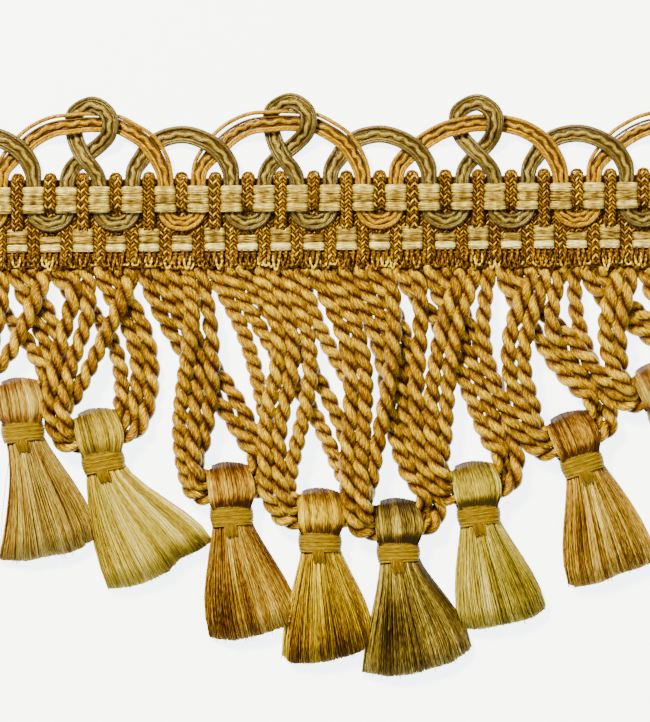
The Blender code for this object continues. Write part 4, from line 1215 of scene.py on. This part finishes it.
def skirt_threads(strands, number, row):
    """Cut yarns that leave the binding close together and spread to the cut edge."""
    neck, down, wide = tassel_axes(row)
    edge = from_pixel(SKIRT_EDGE[number])
    left_bulge, right_bulge = SKIRT_BULGE[number]
    clump = SHAKE.normal(0, 0.12, SKIRT_CLUMPS)
    drift = SHAKE.uniform(0, 6, SKIRT_CLUMPS)
    clumps = np.arange(SKIRT_CLUMPS)
    t = np.linspace(0, 1, THREAD_POINTS)
    for n in range(THREADS + THICK_THREADS):
        thick = n >= THREADS
        layer = SHAKE.uniform(0, 0.8) if thick else SHAKE.uniform(0, 1) ** 0.55
        u = SHAKE.uniform(0, 1)
        share = float(np.clip(u + SHAKE.normal(0, 0.022), 0.0, 1.0))
        start = neck + SKIRT_START * down + (2 * u - 1) * NECK_HALF_WIDE * wide
        end = along_edge(edge, share)
        end = start + (end - start) * (1 - abs(SHAKE.normal(0, 0.012)))
        length = np.linalg.norm(end - start)
        round_out = roundness(u)
        low = 0.35 + 0.15 * SHAKE.uniform(0, 1)
        start_z = SKIRT_START_Z + (2 * layer - 1) * SKIRT_START_DEEP * max(round_out, 0.2)
        mid_z = low + (SKIRT_MID_ROUND * round_out + SKIRT_MID_FLAT) * layer
        end_z = low + (SKIRT_END_ROUND * round_out + SKIRT_END_FLAT) * layer
        bulge = -left_bulge * max(0, 1 - 2.2 * u) + right_bulge * max(0, 2.2 * u - 1.2)
        sway = SHAKE.normal(0, 0.22, 2)
        one = start + 0.26 * length * down + (0.5 * bulge + sway[0]) * wide
        two = start + (end - start) * 0.66 + (bulge + sway[1]) * wide
        path = bezier([(*start, start_z), (*one, mid_z + 0.5), (*two, mid_z), (*end, end_z)],
                      THREAD_POINTS)
        path[:, 0] += 0.05 * np.sin(9 * t + n) * t
        path[:, 2] = np.maximum(path[:, 2], SKIRT_LOWEST)
        place_in_clumps = u * (SKIRT_CLUMPS - 1)
        tone = FIRST_SKIRT_TONE if number == 0 else SKIRT_TONE
        tone = tone + np.interp(place_in_clumps, clumps, clump) + SHAKE.normal(0, 0.085)
        tone = tone + 0.07 * np.sin(5 * t + np.interp(place_in_clumps, clumps, drift))
        # painted shade on the threads low inside the skirt and just below the binding
        tone = tone + spot_tone(number, u, t) - INSIDE_PAINTED_SHADE * (1 - layer) ** 2
        tone = tone - NECK_PAINTED_SHADE * np.exp(-t / NECK_SHADE_SHARE)
        radius = THICK_RADIUS if thick else THREAD_RADIUS + 0.02 * SHAKE.uniform(-1, 1)
        strands.add(path, radius, 4 if thick else 3, tone, slant=0.4)


STRAY_THREADS = 10
STRAY_POINTS = 10
STRAY_RADIUS = 0.08
STRAY_START, STRAY_HALF_WIDE = 2.6, 3.2


def stray_threads(strands, number, row):
    """A few threads that wander across the skirt's face or stick out of its edge."""
    neck, down, wide = tassel_axes(row)
    edge = from_pixel(SKIRT_EDGE[number])
    for n in range(STRAY_THREADS):
        u = SHAKE.uniform(0.05, 0.95)
        turn = float(np.clip(u + SHAKE.normal(0, 0.16), 0.0, 1.0))
        start = neck + STRAY_START * down + (2 * u - 1) * STRAY_HALF_WIDE * wide
        end = along_edge(edge, turn)
        end = end + SHAKE.uniform(0.1, 0.8) * unit((end - start)[None, :])[0]
        middle = 0.5 * (start + end) + SHAKE.normal(0, 0.7) * wide
        height = 0.6 + 3.9 * roundness(u)
        path = bezier([(*start, height + 0.6), (*middle, height + 0.6), (*middle, height),
                       (*end, max(0.3, 0.6 * height))], STRAY_POINTS)
        strands.add(path, STRAY_RADIUS, 3, 0.68 + wobble(0.1))


def make_tassels():
    """Head, skirt and binding of each tassel."""
    for number, row in enumerate(TASSELS):
        colours, slot, shine, contrast = TASSEL_LOOKS[number]
        look = yarn_look(f"tassel_yarn_{number}", colours, 0.42, 5.0, 0.3, 0.22, shine, contrast)
        head = Strands()
        head_yarns(head, row, number)
        head.build(f"tassel_head_{number}", look, [f"tassel_{number}"])
        skirt = Strands()
        skirt_threads(skirt, number, row)
        stray_threads(skirt, number, row)
        skirt.build(f"tassel_skirt_{number}", look, [f"tassel_{number}"])
        binding = Strands()
        binding_rings(binding, row)
        binding.build(f"tassel_binding_{number}", BINDING_LOOK, [f"binding_{number}"])


make_tassels()


# Floor, camera and light, in metres
FLOOR_REACH = 3.0
FLOOR_Z = -0.0002
FLOOR_GLOW = (0.84, 0.93, 1.0, 1)
FLOOR_GLOW_STRENGTH = 5.4
CAMERA_HEIGHT = 0.8
VIEW_TALL = 0.1444
VIEW_MIDDLE_DROP = 19.2       # millimetres below the root line
SENSOR_WIDTH = 36.0
WORLD_STRENGTH = 0.30


def make_floor():
    mesh = bpy.data.meshes.new("floor")
    far = FLOOR_REACH
    mesh.from_pydata([(-far, -far, 0), (far, -far, 0), (far, far, 0), (-far, far, 0)],
                     [], [(0, 1, 2, 3)])
    floor = bpy.data.objects.new("floor", mesh)
    bpy.context.collection.objects.link(floor)
    look = bpy.data.materials.new("pale_floor")
    look.use_nodes = True
    shader = look.node_tree.nodes["Principled BSDF"]
    shader.inputs["Base Color"].default_value = (0.92, 0.92, 0.92, 1)
    shader.inputs["Roughness"].default_value = 0.9
    shader.inputs["Emission Color"].default_value = FLOOR_GLOW
    shader.inputs["Emission Strength"].default_value = FLOOR_GLOW_STRENGTH
    mesh.materials.append(look)
    floor.location.z = FLOOR_Z


def make_camera():
    """Straight above the middle of the view, which is 130 mm wide and 144.4 mm tall."""
    data = bpy.data.cameras.new("camera")
    data.sensor_width = SENSOR_WIDTH
    data.lens = SENSOR_WIDTH * CAMERA_HEIGHT / VIEW_TALL
    camera = bpy.data.objects.new("camera", data)
    camera.location = (-MIDDLE_ACROSS * MM, (MIDDLE_DROP - VIEW_MIDDLE_DROP) * MM, CAMERA_HEIGHT)
    bpy.context.collection.objects.link(camera)
    bpy.context.scene.camera = camera


def make_light(name, location, size, power, colour):
    """A square lamp that points at the middle of the fringe."""
    data = bpy.data.lights.new(name, "AREA")
    data.size = size
    data.energy = power
    data.color = colour
    lamp = bpy.data.objects.new(name, data)
    lamp.location = location
    aim = Vector((0, 0, 0)) - Vector(location)
    lamp.rotation_euler = aim.to_track_quat("-Z", "Y").to_euler()
    bpy.context.collection.objects.link(lamp)


def make_world():
    world = bpy.data.worlds.new("studio")
    world.use_nodes = True
    background = world.node_tree.nodes["Background"]
    background.inputs["Color"].default_value = (1, 1, 1, 1)
    background.inputs["Strength"].default_value = WORLD_STRENGTH
    bpy.context.scene.world = world


make_floor()
make_camera()
make_light("key", (-0.30, 0.42, 0.62), 0.14, 21.0, (1.0, 0.87, 0.42))
make_light("fill", (0.45, -0.2, 0.7), 0.3, 3.2, (1.0, 0.90, 0.66))
make_world()
